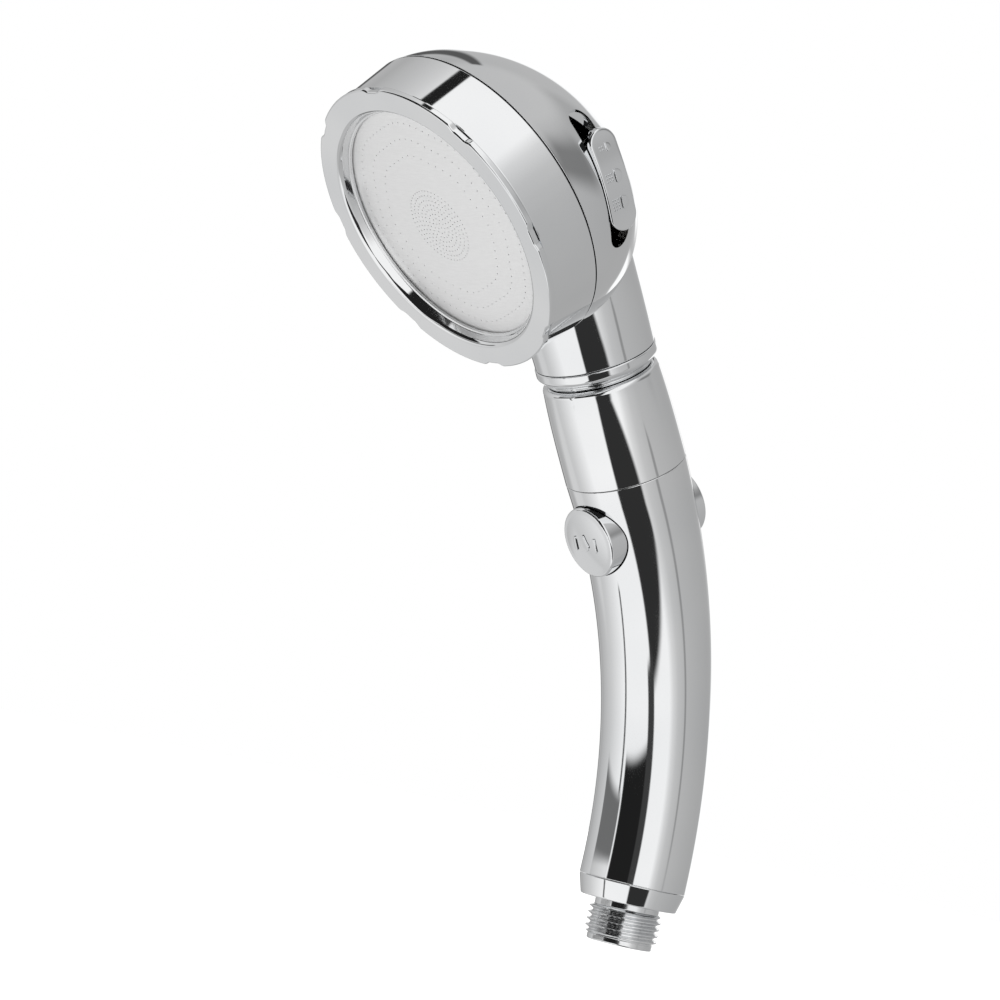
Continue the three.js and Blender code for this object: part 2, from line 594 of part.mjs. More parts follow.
place('rear_shell', rearShell(), chromePlate(), domeFrame);
place('bezel_ring', bezelRing(), chromePlate(), rimFrame);

// ---------------------------------------------------------------- spray plate and water chambers
// A thin disc that bulges forward inside the bezel's lip, with a flat rim under the lip.
function sprayPlate() {
  const { front, thickness, radius, crown } = plate;
  const bulge = bezel.lipRadius - 0.4;
  const face = [0, 0.2, 0.4, 0.6, 0.8, 1].map((share) => [bulge * share, front - crown * (1 - share ** 2)]);
  const outline = [...face, [radius, front], [radius, front + thickness]];
  const back = face.map(([r, depth]) => [r, depth + thickness]).reverse();
  return toSolid(turned(backwards([...outline, ...back]), sides.casing));
}

const plateBack = plate.front + plate.thickness;
const sprayFloor = plateBack + spray.behind;
const sprayBack = sprayFloor + spray.floor;
const gasketInner = plate.radius - 2.6;

function sprayChamber() {
  const floor = turned(backwards([
    [0, sprayFloor], [plate.radius, sprayFloor], [plate.radius, sprayBack + spray.rim],
    [plate.radius - spray.rim, sprayBack + spray.rim], [plate.radius - spray.rim, sprayBack], [0, sprayBack],
  ]), sides.shell);
  const holes = spray.rings.flatMap(([count, radius]) => Array.from({ length: count }, (_, i) =>
    onCircle(rod(spray.hole, -sprayBack - 1, 0, sides.hole), radius, (360 * i) / count)));
  return cut(toSolid(floor), ...holes);
}

function rearChamber() {
  const { radius, wall, front, back, ear, screwCircle } = chamber;
  const floorFront = back - wall;
  const wallFront = front + seatThickness + gap;
  const earFront = back - 2.4;
  const cup = toSolid(turned(backwards([
    [0, floorFront], [radius - wall, floorFront], [radius - wall, wallFront], [radius, wallFront],
    [radius, earFront], [ear, earFront], [ear, earFront + earThickness], [radius, earFront + earThickness],
    [radius, back], [0, back],
  ]), sides.shell));
  const neckAxis = split.ahead;
  const pipeBottom = feed.bottom - split.above;
  const boss = rod(feed.boss, -back + 0.5, -neckAxis - feed.bore).translate(0, feed.height, 0);
  const inletPipe = alongY(rod(feed.pipe, pipeBottom, feed.height)).translate(0, 0, -neckAxis);
  const detentBoss = rod(detent.boss, -back + 0.5, -back - 4, sides.hole);
  const detentBore = rod(detent.bore, 0, -back - detent.depth, sides.hole);
  const bores = [
    rod(feed.bore, 0, -neckAxis).translate(0, feed.height, 0),
    alongY(rod(feed.bore, pipeBottom - 1, feed.height)).translate(0, 0, -neckAxis),
    rod(rotor.shaft + gap, 0, -back - 1),
    onCircle(detentBore, port.circle, 90),
    ...screwAngles.map((a) => onCircle(rod(1.6, 0, -back - 1, sides.hole), screwCircle, a)),
  ];
  return cut(join(cup, boss, inletPipe, onCircle(detentBoss, port.circle, 90)), ...bores);
}

function diverterSeat() {
  const { radius, front } = chamber;
  const disc = toSolid(rod(radius, -front, -front - seatThickness, sides.shell));
  const hole = () => rod(port.radius, 0, -front - 4, sides.hole);
  const ports = [30, 150, 270].map((angle) => onCircle(hole(), port.circle, angle));
  return cut(disc, ...ports);
}

function diverterDisc() {
  const back = rotor.front + rotor.thickness;
  const sealAt = chamber.back - 1;
  const boreEnd = rotor.shaftEnd - 5.5;
  const outline = backwards([
    [0, rotor.front], [rotor.radius, rotor.front], [rotor.radius, back], [rotor.shaft, back],
    [rotor.shaft, sealAt - 0.6], [rotor.shaft - 1, sealAt - 0.6], [rotor.shaft - 1, sealAt + 0.6],
    [rotor.shaft, sealAt + 0.6], [rotor.shaft, rotor.shaftEnd], [rotor.bore, rotor.shaftEnd],
    [rotor.bore, boreEnd], [0, boreEnd],
  ]);
  const hole = () => rod(port.radius, 0, -back - 1, sides.hole);
  const ports = [22, 142, 262].map((angle) => onCircle(hole(), port.circle, angle));
  return cut(toSolid(turned(outline)), ...ports);
}

// A pan-head screw drawn head up along +Z, with a crossed recess.
function screw({ head, headHeight, shank, length }) {
  const blank = toSolid(turned([
    [0, -length], [shank, -length], [shank, 0], [head, 0], [head, headHeight * 0.6],
    [head * 0.6, headHeight], [0, headHeight],
  ], sides.hole + 2));
  const [span, slit, depth] = [head * 1.2, 0.5, headHeight * 0.55];
  return cut(blank, block(span, slit, depth, 0, 0, headHeight), block(slit, span, depth, 0, 0, headHeight));
}

place('spray_plate', sprayPlate(), stainless(), rimFrame);
const gasket = ring(gasketInner, plate.radius, -sprayFloor + gap, -plateBack - gap, sides.shell);
place('plate_gasket', gasket, rubber(), rimFrame);
place('spray_chamber', sprayChamber(), whiteResin(), rimFrame);
place('rear_chamber', rearChamber(), whiteResin(), domeFrame);
place('diverter_seat', diverterSeat(), greyResin(), domeFrame);
place('diverter_disc', diverterDisc(), whiteResin(), domeFrame);
place('shaft_seal', sealRing(rotor.shaft - 0.42, 0.4, -chamber.back + 1), rubber(), domeFrame);
screwAngles.forEach((angle, i) => {
  const body = toGeometry(screw(chamberScrew)).translate(0, 0, -chamber.back + 2.4 + gap);
  place(`chamber_screw_${i + 1}`, onCircle(body, chamber.screwCircle, angle), stainless(), domeFrame);
});

function detentParts() {
  const { ball, wire, coil, turns, depth } = detent;
  const ballAt = rotor.front + rotor.thickness + gap / 2 + ball;
  const sphere = new THREE.SphereGeometry(ball, 12, 8).translate(0, 0, -ballAt);
  const section = Array.from({ length: 4 }, (_, k) => {
    const angle = (k * Math.PI) / 2;
    return [coil + wire * Math.cos(angle), wire * Math.sin(angle)];
  });
  const springFront = ballAt + ball + wire + 0.1;
  const pitch = (chamber.back + depth - wire - 0.1 - springFront) / turns;
  const spring = helix(section, pitch, turns, 8).translate(0, 0, -springFront - turns * pitch);
  return [sphere, spring].map((geometry) => onCircle(geometry, port.circle, 90));
}
const [detentBall, detentSpring] = detentParts();
place('detent_ball', detentBall, stainless(), domeFrame);
place('detent_spring', detentSpring, stainless(), domeFrame);

// ---------------------------------------------------------------- spray selector
function selectorKnob() {
  const { centre, halfWidth, root: knobRoot, face } = selector;
  const bar = toSolid(spokeBar(centre, selectorHalfAngle, halfWidth, knobRoot, face));
  const middle = (lever.front + lever.back) / 2 + gap;
  const pocketDepth = lever.tip - selector.root + gap;
  const pocket = block(2 * pocketDepth, lever.width + 2 * gap, 5, selector.root, 0, -middle);
  return cut(bar, pocket.rotateZ(degrees(selector.centre)));
}

function selectorLever() {
  const { hub, front, back, width, tip, web } = lever;
  const arm = block(tip - 3, width, back - front - 1.1, (tip + 3) / 2, 0, -(front + back) / 2 - gap);
  const body = join(toSolid(rod(hub, -front, -back)), arm);
  const bores = [rod(rotor.shaft + gap, -front + 1, -back + web), rod(1.6, 0, -back - 1, sides.hole)];
  return toGeometry(cut(body, ...bores)).rotateZ(degrees(selector.centre));
}

const leverScrewBody = toGeometry(screw(leverScrew)).rotateX(Math.PI).translate(0, 0, -lever.back - gap);
place('selector_lever', selectorLever(), whiteResin(), domeFrame);
place('lever_screw', leverScrewBody, stainless(), domeFrame);
place('selector_knob', selectorKnob(), chromePlate(), domeFrame);

export default root;
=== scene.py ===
# %% [markdown]
# # A handheld shower head, surface by surface
# The real object is chrome-plated plastic: a curved grip, a swivel collar and neck, and a round head
# with a perforated steel plate. Chrome shows every fault of the surface under it, so each outer piece
# is made again here from a formula, fine enough to mirror a studio without facets.
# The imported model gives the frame: bodies, joint axes and mounts. Lengths below are millimetres.

# %% Load the frame
import json
import math

import bpy
import bmesh
import numpy as np
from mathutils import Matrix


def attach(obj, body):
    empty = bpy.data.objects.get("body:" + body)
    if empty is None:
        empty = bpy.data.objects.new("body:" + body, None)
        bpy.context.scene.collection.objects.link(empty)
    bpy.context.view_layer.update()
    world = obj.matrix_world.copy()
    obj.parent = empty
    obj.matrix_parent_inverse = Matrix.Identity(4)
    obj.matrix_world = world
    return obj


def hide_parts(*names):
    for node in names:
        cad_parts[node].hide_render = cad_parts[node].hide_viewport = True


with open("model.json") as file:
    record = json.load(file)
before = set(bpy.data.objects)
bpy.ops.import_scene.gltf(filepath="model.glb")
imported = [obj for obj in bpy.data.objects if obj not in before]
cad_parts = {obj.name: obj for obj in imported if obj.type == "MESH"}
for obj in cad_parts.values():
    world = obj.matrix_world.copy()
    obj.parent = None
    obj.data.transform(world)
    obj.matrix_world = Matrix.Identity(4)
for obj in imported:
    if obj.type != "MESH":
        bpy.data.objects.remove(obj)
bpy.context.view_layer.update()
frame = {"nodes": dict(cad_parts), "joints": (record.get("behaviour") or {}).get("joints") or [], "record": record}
joints = {joint["name"]: joint for joint in frame["joints"]}
mounts = {mount["name"]: mount for mount in frame["record"]["mounts"]}

# %% [markdown]
# ## Four places to build in
# A lathe turns its work about one axis, and so does a formula. Each piece is drawn about its own Z
# axis and then carried to its place by a frame: the neck's axis is the swivel joint's, the dome's
# is the selector's, the rim's is the flat face round the spray plate, and the valve's axis is the
# stop button's slide. Reading them from the joints keeps the looks on the parts that move.

# %% Frames
MM = 0.001
X_AXIS = np.array([1.0, 0.0, 0.0])


def frame_from(origin_m, z_axis):
    """A 4x4 frame in metres: X stays the row's X, Z is the given axis, and Y is Z cross X."""
    z = np.array(z_axis, float) / np.linalg.norm(z_axis)
    matrix = np.eye(4)
    matrix[:3, 0], matrix[:3, 1], matrix[:3, 2] = X_AXIS, np.cross(z, X_AXIS), z
    matrix[:3, 3] = origin_m
    return matrix


neck_frame = frame_from(joints["head_swivel"]["pos_m"], joints["head_swivel"]["axis"])
dome_frame = frame_from(joints["selector_turn"]["pos_m"], joints["selector_turn"]["axis"])
rim_mount = mounts["spray_rim_face"]
rim_frame = frame_from([0.0, *rim_mount["pos_m"][1:]], rim_mount["axis"])
world_frame = np.eye(4)
neck_turn = math.acos(neck_frame[2, 2])
head_tilt = math.acos(float(rim_frame[:3, 2] @ dome_frame[:3, 2]))
print(f"neck leans {math.degrees(neck_turn):.2f} degrees, rim {math.degrees(head_tilt):.2f} more")

# %% [markdown]
# ## From an outline to a closed surface
# Nearly every piece here is a surface of revolution. Its half section is a short list of corners,
# each with a fillet, because a moulded and plated edge is never sharp: the fillet is what catches
# the thin bright line along every seam. Two extra points hold each straight run flat, so that
# smooth shading bends only inside the fillet and the mirror stays true next to it.

# %% Outline helpers
FILLET_STEPS = 6
HOLD = 0.05  # distance of a holding point from the end of a straight run


def rounded(corners, closed=True):
    """An outline through corners (x, y, fillet). A fillet's arc has its centre on the bisector, at
    radius / sin(half angle) from the corner, and touches both sides at radius / tan(half angle)."""
    corners = np.array(corners, float)
    count, points = len(corners), []
    for i, (x, y, radius) in enumerate(corners):
        here = np.array([x, y])
        if radius <= 0 or (not closed and i in (0, count - 1)):
            points.append(here[None])
            continue
        before = corners[i - 1, :2] - here
        after = corners[(i + 1) % count, :2] - here
        run_in, run_out = np.linalg.norm(before), np.linalg.norm(after)
        before, after = before / run_in, after / run_out
        half = math.acos(np.clip(before @ after, -1, 1)) / 2
        reach = min(radius / math.tan(half), 0.48 * run_in, 0.48 * run_out)
        radius = reach * math.tan(half)
        centre = here + (before + after) / np.linalg.norm(before + after) * radius / math.sin(half)
        start, end = here + before * reach - centre, here + after * reach - centre
        turn = math.atan2(start[0] * end[1] - start[1] * end[0], start @ end)
        angle = np.linspace(0, turn, FILLET_STEPS + 1)[:, None]
        across = np.array([-start[1], start[0]])
        arc = centre + start * np.cos(angle) + across * np.sin(angle)
        lead = here + before * (reach + min(HOLD, 0.1 * run_in))
        tail = here + after * (reach + min(HOLD, 0.1 * run_out))
        points.append(np.vstack([lead, arc, tail]))
    return np.vstack(points)


def turned(outline, sides=192):
    """Turns points (radius, z) about Z: x = r cos a, y = r sin a, for a on an even ring."""
    angle = np.linspace(0, 2 * np.pi, sides, endpoint=False)[:, None]
    radius, z = outline[:, 0][None], outline[:, 1][None]
    return np.stack([radius * np.cos(angle), radius * np.sin(angle), z + 0 * angle], axis=-1)


def backwards(corners):
    """Depths behind the rim run along -Z of the head's frames."""
    return [(radius, -depth, fillet) for radius, depth, fillet in corners]


# %% [markdown]
# ## From a grid of points to a Blender mesh
# A grid of points wraps round in one direction, and in the other it either closes on itself, as a
# ring's section does, or ends in two poles on the axis. The quads are index arithmetic on whole
# arrays. The signed volume of the closed surface says whether the faces point out, and turns them
# if not. Edges sharper than a set angle are marked, so that a cut made later stays crisp.

# %% Mesh helpers
SHARP = math.radians(32)


def grid_quads(rows, columns, closed):
    """Quads between neighbours of a grid that wraps over its rows, and over its columns if closed."""
    i, j = np.meshgrid(np.arange(rows), np.arange(columns if closed else columns - 1), indexing="ij")
    next_i, next_j = (i + 1) % rows, (j + 1) % columns
    quads = [i * columns + j, next_i * columns + j, next_i * columns + next_j, i * columns + next_j]
    return np.stack(quads, axis=-1).reshape(-1, 4)


def piece(name, grid, matrix=world_frame, closed=True, more=()):
    """A closed mesh object from a grid in millimetres, and from any further grids of the same kind."""
    points, quads, start = [], [], 0
    for part in (grid, *more):
        rows, columns = part.shape[:2]
        points.append(part.reshape(-1, 3) * MM)
        quads.append(grid_quads(rows, columns, closed) + start)
        start += rows * columns
    points = np.vstack(points) @ matrix[:3, :3].T + matrix[:3, 3]
    return mesh_object(name, points, np.vstack(quads))


def mesh_object(name, points, faces):
    """Puts points in metres and faces of one size into a mesh with foreach_set, then closes it."""
    mesh = bpy.data.meshes.new(name)
    mesh.vertices.add(len(points))
    mesh.vertices.foreach_set("co", points.astype(np.float32).ravel())
    mesh.loops.add(faces.size)
    mesh.loops.foreach_set("vertex_index", faces.astype(np.int32).ravel())
    mesh.polygons.add(len(faces))
    mesh.polygons.foreach_set("loop_start", np.arange(0, faces.size, faces.shape[1], dtype=np.int32))
    mesh.update(calc_edges=True)
    close_up(mesh)
    made = bpy.data.objects.new(name, mesh)
    bpy.context.scene.collection.objects.link(made)
    return made


def close_up(mesh):
    """Merges the doubled points of poles, drops empty faces and points all faces outwards."""
    work = bmesh.new()
    work.from_mesh(mesh)
    bmesh.ops.remove_doubles(work, verts=work.verts, dist=2e-7)
    bmesh.ops.dissolve_degenerate(work, edges=work.edges, dist=1e-7)
    bmesh.ops.recalc_face_normals(work, faces=work.faces)
    if work.calc_volume(signed=True) < 0:
        bmesh.ops.reverse_faces(work, faces=work.faces)
    work.to_mesh(mesh)
    work.free()
    mesh.polygons.foreach_set("use_smooth", np.ones(len(mesh.polygons), bool))
    mesh.set_sharp_from_angle(angle=SHARP)


def combine(target, tool, operation="DIFFERENCE"):
    """Cuts or joins a closed tool into a closed target with the Manifold solver, and drops the tool."""
    change = target.modifiers.new(operation.title(), "BOOLEAN")
    change.object, change.operation, change.solver = tool, operation, "MANIFOLD"
    seen = target.evaluated_get(bpy.context.evaluated_depsgraph_get())
    result = bpy.data.meshes.new_from_object(seen)
    target.modifiers.clear()
    target.data = result
    bpy.data.objects.remove(tool)
    close_up(result)
    return target


# %% [markdown]
# ## Finishes
# Plated plastic is a mirror with two faults: the moulding under it ripples a little, and its
# gloss is not quite even where it was buffed and touched. Both come from noise on Object
# coordinates, as a bump a few micrometres deep and a small swing of the roughness. The plate is
# steel with a fine brushed grain, and the inner pieces are moulded resin, rubber and brass.

# %% Material helpers
def new_material(name, metallic, roughness, color):
    """A Principled material whose even values are set on the shader's own sockets."""
    material = bpy.data.materials.new(name)
    material.use_nodes = True
    shader = material.node_tree.nodes["Principled BSDF"]
    shader.inputs["Metallic"].default_value = metallic
    shader.inputs["Roughness"].default_value = roughness
    shader.inputs["Base Color"].default_value = (*color, 1)
    return material, material.node_tree, shader


def noise_node(tree, scale, detail=2.0, stretch=(1, 1, 1)):
    """Noise on Object coordinates; stretch scales the three axes apart."""
    coordinates = tree.nodes.new("ShaderNodeTexCoord")
    mapping = tree.nodes.new("ShaderNodeMapping")
    mapping.inputs["Scale"].default_value = stretch
    noise = tree.nodes.new("ShaderNodeTexNoise")
    noise.inputs["Scale"].default_value = scale
    noise.inputs["Detail"].default_value = detail
    tree.links.new(coordinates.outputs["Object"], mapping.inputs["Vector"])
    tree.links.new(mapping.outputs["Vector"], noise.inputs["Vector"])
    return noise.outputs["Fac"]


def swing(tree, shader, socket, factor, low, high):
    """Sends noise through a Map Range to one socket, between two values."""
    spread = tree.nodes.new("ShaderNodeMapRange")
    spread.inputs["From Min"].default_value, spread.inputs["From Max"].default_value = 0.3, 0.7
    spread.inputs["To Min"].default_value, spread.inputs["To Max"].default_value = low, high
    tree.links.new(factor, spread.inputs["Value"])
    tree.links.new(spread.outputs["Result"], shader.inputs[socket])


def shades(tree, shader, factor, dark, light):
    """Sends noise through a Color Ramp between two colours to the base colour."""
    ramp = tree.nodes.new("ShaderNodeValToRGB")
    ramp.color_ramp.elements[0].position, ramp.color_ramp.elements[1].position = 0.35, 0.65
    ramp.color_ramp.elements[0].color, ramp.color_ramp.elements[1].color = (*dark, 1), (*light, 1)
    tree.links.new(factor, ramp.inputs["Fac"])
    tree.links.new(ramp.outputs["Color"], shader.inputs["Base Color"])


def bumps(tree, shader, layers):
    """Adds bump layers (height, depth in metres), each on top of the last."""
    normal = None
    for height, depth in layers:
        bump = tree.nodes.new("ShaderNodeBump")
        bump.inputs["Strength"].default_value = 1.0
        bump.inputs["Distance"].default_value = depth
        tree.links.new(height, bump.inputs["Height"])
        if normal:
            tree.links.new(normal, bump.inputs["Normal"])
        normal = bump.outputs["Normal"]
    tree.links.new(normal, shader.inputs["Normal"])


# %% Chrome, steel, brass, resin and rubber
def chrome_plate():
    material, tree, shader = new_material("chrome_plate", 1.0, 0.05, (0.84, 0.85, 0.86))
    shades(tree, shader, noise_node(tree, 25), (0.80, 0.81, 0.82), (0.86, 0.865, 0.87))
    swing(tree, shader, "Roughness", noise_node(tree, 60, 4), 0.03, 0.07)
    bumps(tree, shader, [(noise_node(tree, 45, 1), 6e-6), (noise_node(tree, 900, 1), 1.5e-7)])
    return material


def satin_steel():
    material, tree, shader = new_material("satin_steel", 0.8, 0.5, (0.9, 0.9, 0.9))
    grain = noise_node(tree, 260, 3, (1, 14, 14))
    shades(tree, shader, grain, (0.89, 0.89, 0.89), (0.92, 0.92, 0.92))
    swing(tree, shader, "Roughness", noise_node(tree, 90, 2), 0.46, 0.54)
    bumps(tree, shader, [(grain, 2e-7)])
    return material


def thread_brass():
    material, tree, shader = new_material("plated_thread", 1.0, 0.12, (0.82, 0.83, 0.84))
    shades(tree, shader, noise_node(tree, 120), (0.76, 0.77, 0.78), (0.85, 0.855, 0.86))
    swing(tree, shader, "Roughness", noise_node(tree, 300, 3), 0.07, 0.18)
    bumps(tree, shader, [(noise_node(tree, 500, 2), 2e-6)])
    return material


def moulded(name, dark, light, roughness):
    """Moulded resin or rubber: a little uneven in shade and gloss, with a fine grain."""
    material, tree, shader = new_material(name, 0.0, roughness, light)
    shades(tree, shader, noise_node(tree, 70, 3), dark, light)
    swing(tree, shader, "Roughness", noise_node(tree, 200, 2), roughness - 0.08, roughness + 0.08)
    bumps(tree, shader, [(noise_node(tree, 1500, 2), 4e-6)])
    return material


CHROME = chrome_plate()
STEEL = satin_steel()
THREAD = thread_brass()
WHITE_RESIN = moulded("white_resin", (0.66, 0.65, 0.62), (0.74, 0.73, 0.70), 0.45)
GREY_RESIN = moulded("grey_resin", (0.16, 0.165, 0.17), (0.20, 0.205, 0.21), 0.4)
SEAL_RUBBER = moulded("seal_rubber", (0.012, 0.012, 0.013), (0.022, 0.022, 0.023), 0.7)
print("materials", [m.name for m in bpy.data.materials])


# %% Finish a piece
def finish_piece(made, material, body, slot, *nodes):
    """Gives a piece its material and its body, and hides the CAD nodes that it stands for. The slot is not used.
    """
    made.data.materials.clear()
    made.data.materials.append(material)
    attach(made, body)
    if nodes:
        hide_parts(*nodes)
    print(made.name, len(made.data.vertices), "points")
    return made


# %% [markdown]
# ## The inlet thread
# The hose screws onto a G 1/2 thread: 14 turns to the inch, with flanks at 55 degrees. A thread is
# one surface, not a stack of rings: the radius depends on how far a point is along the helix, which
# is its height less the share of a pitch that its angle has used up. The crest fades in and out
# over a third of a turn, as a die leaves it.

# %% Inlet stub
THREAD_CREST, THREAD_ROOT, THREAD_PITCH = 10.4, 9.2, 1.814
THREAD_FROM, THREAD_TO = 1.6, 10.3
LEAD_IN_RADIUS, STUB_NECK, STUB_TOP, INLET_BORE = 9.3, 9.2, 16.9, 7.0


def thread_height(z, angle):
    """The thread's form over its root: a wave with flat crest and root, by the phase along the helix."""
    phase = (z - THREAD_FROM) / THREAD_PITCH - angle / (2 * np.pi)
    wave = np.abs(2 * (phase - np.floor(phase)) - 1)  # 0 on the crest's line, 1 on the root's
    form = np.clip((0.86 - wave) / 0.72, 0, 1)
    start = np.clip((z - THREAD_FROM) / (0.4 * THREAD_PITCH), 0, 1)
    end = np.clip((THREAD_TO - z) / (0.4 * THREAD_PITCH), 0, 1)
    return (THREAD_CREST - THREAD_ROOT) * form * start * end


def inlet_stub():
    sides = 160
    lower = rounded([(INLET_BORE, 8.6, 0), (INLET_BORE, 0, 0.5), (LEAD_IN_RADIUS, 0, 0.45),
                     (LEAD_IN_RADIUS, THREAD_FROM - 0.15, 0.1), (THREAD_ROOT, THREAD_FROM, 0)], False)
    z = np.linspace(THREAD_FROM + 0.02, THREAD_TO, 220)
    threaded = np.stack([np.full_like(z, THREAD_ROOT), z], axis=1)
    upper = np.array([(STUB_NECK, THREAD_TO + 0.2), (STUB_NECK, 12.2), (STUB_NECK, STUB_TOP),
                      (INLET_BORE, STUB_TOP)])
    outline = np.vstack([lower, threaded, upper])
    grid = turned(outline, sides)
    angle = np.linspace(0, 2 * np.pi, sides, endpoint=False)[:, None]
    height = np.zeros(grid.shape[:2])
    span = slice(len(lower), len(lower) + len(z))
    height[:, span] = thread_height(z[None], angle)
    grid[..., 0] += height * np.cos(angle)
    grid[..., 1] += height * np.sin(angle)
    return piece("inlet_thread", grid)


finish_piece(inlet_stub(), THREAD, "handle", "plated_brass", "inlet_stub")

# %% [markdown]
# ## The grip's curve
# The grip is a tube that leans forward along one arc, so every piece of it is drawn straight up Z
# and then bent: a point keeps its X, and its distance from the centreline turns with the curve.
# Its radius tapers from the collar to the inlet with a shallow waist, which the formula gives as a
# straight taper less a parabola. The end cap below it is a short cone.

# %% Grip and end cap
GRIP_BOTTOM, GRIP_LENGTH = 17.5, 119.8
GRIP_RADIUS_LOW, GRIP_RADIUS_HIGH, GRIP_WAIST, GRIP_WALL = 15.2, 17.15, 0.62, 2.2
BEND_START, BEND_RADIUS = 20.6, 179.8
SEAM = 0.06  # half of a seam's gap
COLLAR_SEAM = GRIP_BOTTOM + GRIP_LENGTH


def grip_axis(s):
    """The centreline at distance s: straight, then an arc of the bend's radius, then straight."""
    turn = np.clip((s - BEND_START) / BEND_RADIUS, 0, neck_turn)
    after = np.maximum(s - BEND_START - BEND_RADIUS * neck_turn, 0)
    y = -BEND_RADIUS * (1 - np.cos(turn)) - after * np.sin(turn)
    z = np.minimum(s, BEND_START) + BEND_RADIUS * np.sin(turn) + after * np.cos(turn)
    return y, z, turn


def bent(grid):
    """Bends a straight grid: its z is the distance along the centreline, its y the side step."""
    y, z, turn = grip_axis(grid[..., 2])
    side = grid[..., 1]
    return np.stack([grid[..., 0], y + side * np.cos(turn), z + side * np.sin(turn)], axis=-1)


def grip_radius(s):
    """A straight taper less a parabola that is deepest at the middle."""
    t = (s - GRIP_BOTTOM) / GRIP_LENGTH
    taper = GRIP_RADIUS_LOW + (GRIP_RADIUS_HIGH - GRIP_RADIUS_LOW) * t
    return taper - GRIP_WAIST * 4 * t * (1 - t)


VALVE_AT = COLLAR_SEAM - 15.6
valve_y, valve_z = (float(v) for v in grip_axis(VALVE_AT)[:2])
slide_axis = np.array(joints["stop_slide"]["axis"])
valve_frame = frame_from([0, valve_y * MM, valve_z * MM], slide_axis)  # Z from the front to the rear
BUTTON_RADIUS, BUTTON_GAP = 10.1, 0.3


def grip_shell():
    from_s, to_s, edge = GRIP_BOTTOM + SEAM, COLLAR_SEAM - SEAM, 0.18
    s = np.linspace(from_s + 1, to_s - 1, 200)
    outer = np.stack([grip_radius(s), s], axis=1)
    top = rounded([(grip_radius(to_s - 1), to_s - 1, 0), (grip_radius(to_s), to_s, edge),
                   (GRIP_RADIUS_HIGH - GRIP_WALL, to_s, 0.1), (GRIP_RADIUS_HIGH - GRIP_WALL, to_s - 1, 0)],
                  False)
    inner = np.stack([grip_radius(s) - GRIP_WALL, s], axis=1)[::-1]
    foot = rounded([(grip_radius(from_s + 1) - GRIP_WALL, from_s + 1, 0),
                    (GRIP_RADIUS_LOW - GRIP_WALL, from_s, 0.1), (GRIP_RADIUS_LOW, from_s, edge),
                    (grip_radius(from_s + 1), from_s + 1, 0)], False)
    outline = np.vstack([outer, top[1:-1], inner, foot[1:-1]])
    shell = piece("grip_tube", bent(turned(outline, 256)))
    reach = 40
    drill = rounded([(0, -reach, 0), (BUTTON_RADIUS + BUTTON_GAP, -reach, 0),
                     (BUTTON_RADIUS + BUTTON_GAP, reach, 0), (0, reach, 0)], False)
    return combine(shell, piece("drill", turned(drill, 160), valve_frame, closed=False))


finish_piece(grip_shell(), CHROME, "handle", "plated_abs", "grip_shell")

cap_outline = rounded([(9.5, 11.9, 0.25), (13.65, 11.9, 0.55), (GRIP_RADIUS_LOW, GRIP_BOTTOM - SEAM, 0.18),
                       (12.9, GRIP_BOTTOM - SEAM, 0), (12.9, 22.4, 0), (11.6, 22.4, 0), (11.6, 14.2, 0),
                       (9.5, 14.2, 0)])
finish_piece(piece("grip_end_cap", turned(cap_outline)), CHROME, "handle", "plated_abs", "end_cap")

# %% [markdown]
# ## The collar and the swivel's ring
# The collar swells a little between its seam and a rounded shoulder. Above it is a deep groove with
# the swivel's washer at the bottom, then a ring with a rolled lower edge that turns with the head.
# All three are turned about the neck's axis.

# %% Collar, washer and neck ring
COLLAR_HEIGHT = 28.5
RING_BOTTOM, RING_TOP = 30.2, 34.06


def collar():
    z = np.linspace(1.0, 25.6, 60)
    share = z / COLLAR_HEIGHT
    radius = GRIP_RADIUS_HIGH - 0.1 * share - 0.75 * share**3
    side = np.stack([radius, z], axis=1)
    low = rounded([(GRIP_RADIUS_HIGH - 4, SEAM, 0), (GRIP_RADIUS_HIGH, SEAM, 0.18), (*side[0], 0)], False)
    shoulder = rounded([(*side[-1], 0), (16.35, COLLAR_HEIGHT, 1.9), (8.2, COLLAR_HEIGHT, 0.4),
                        (8.2, COLLAR_HEIGHT - 3, 0), (13.1, COLLAR_HEIGHT - 3, 0), (13.1, SEAM, 0)], False)
    outline = np.vstack([low[:-1], side, shoulder[1:]])
    return piece("collar_sleeve", turned(outline, 256), neck_frame)


finish_piece(collar(), CHROME, "handle", "plated_abs", "collar")

washer_outline = rounded([(7.8, 28.7, 0), (14.6, 28.7, 0.2), (15.0, 29.3, 0.3), (14.6, 30.0, 0.2),
                          (7.8, 30.0, 0)])
finish_piece(piece("swivel_slip_ring", turned(washer_outline), neck_frame), CHROME, "handle", "grey_resin",
             "swivel_washer")

ring_outline = rounded([(12.9, RING_BOTTOM, 0.2), (15.9, RING_BOTTOM, 0.9), (17.05, RING_BOTTOM + 1.5, 1.2),
                        (17.05, RING_TOP - 0.07, 0.35), (12.9, RING_TOP - 0.07, 0)])
finish_piece(piece("neck_trim_ring", turned(ring_outline, 256), neck_frame), CHROME, "head", "plated_abs",
             "neck_ring")

# %% [markdown]
# ## The rear shell
# Dome and neck are one moulding, so they are joined before they are cut. The dome is half an
# ellipsoid that leans: its sections stay parallel to the rim, and each is moved towards the neck by
# the tangent of the tilt times its depth. That is why the split line is a true circle although
# the dome and the bezel have different axes. The neck swells slightly and closes inside the dome.

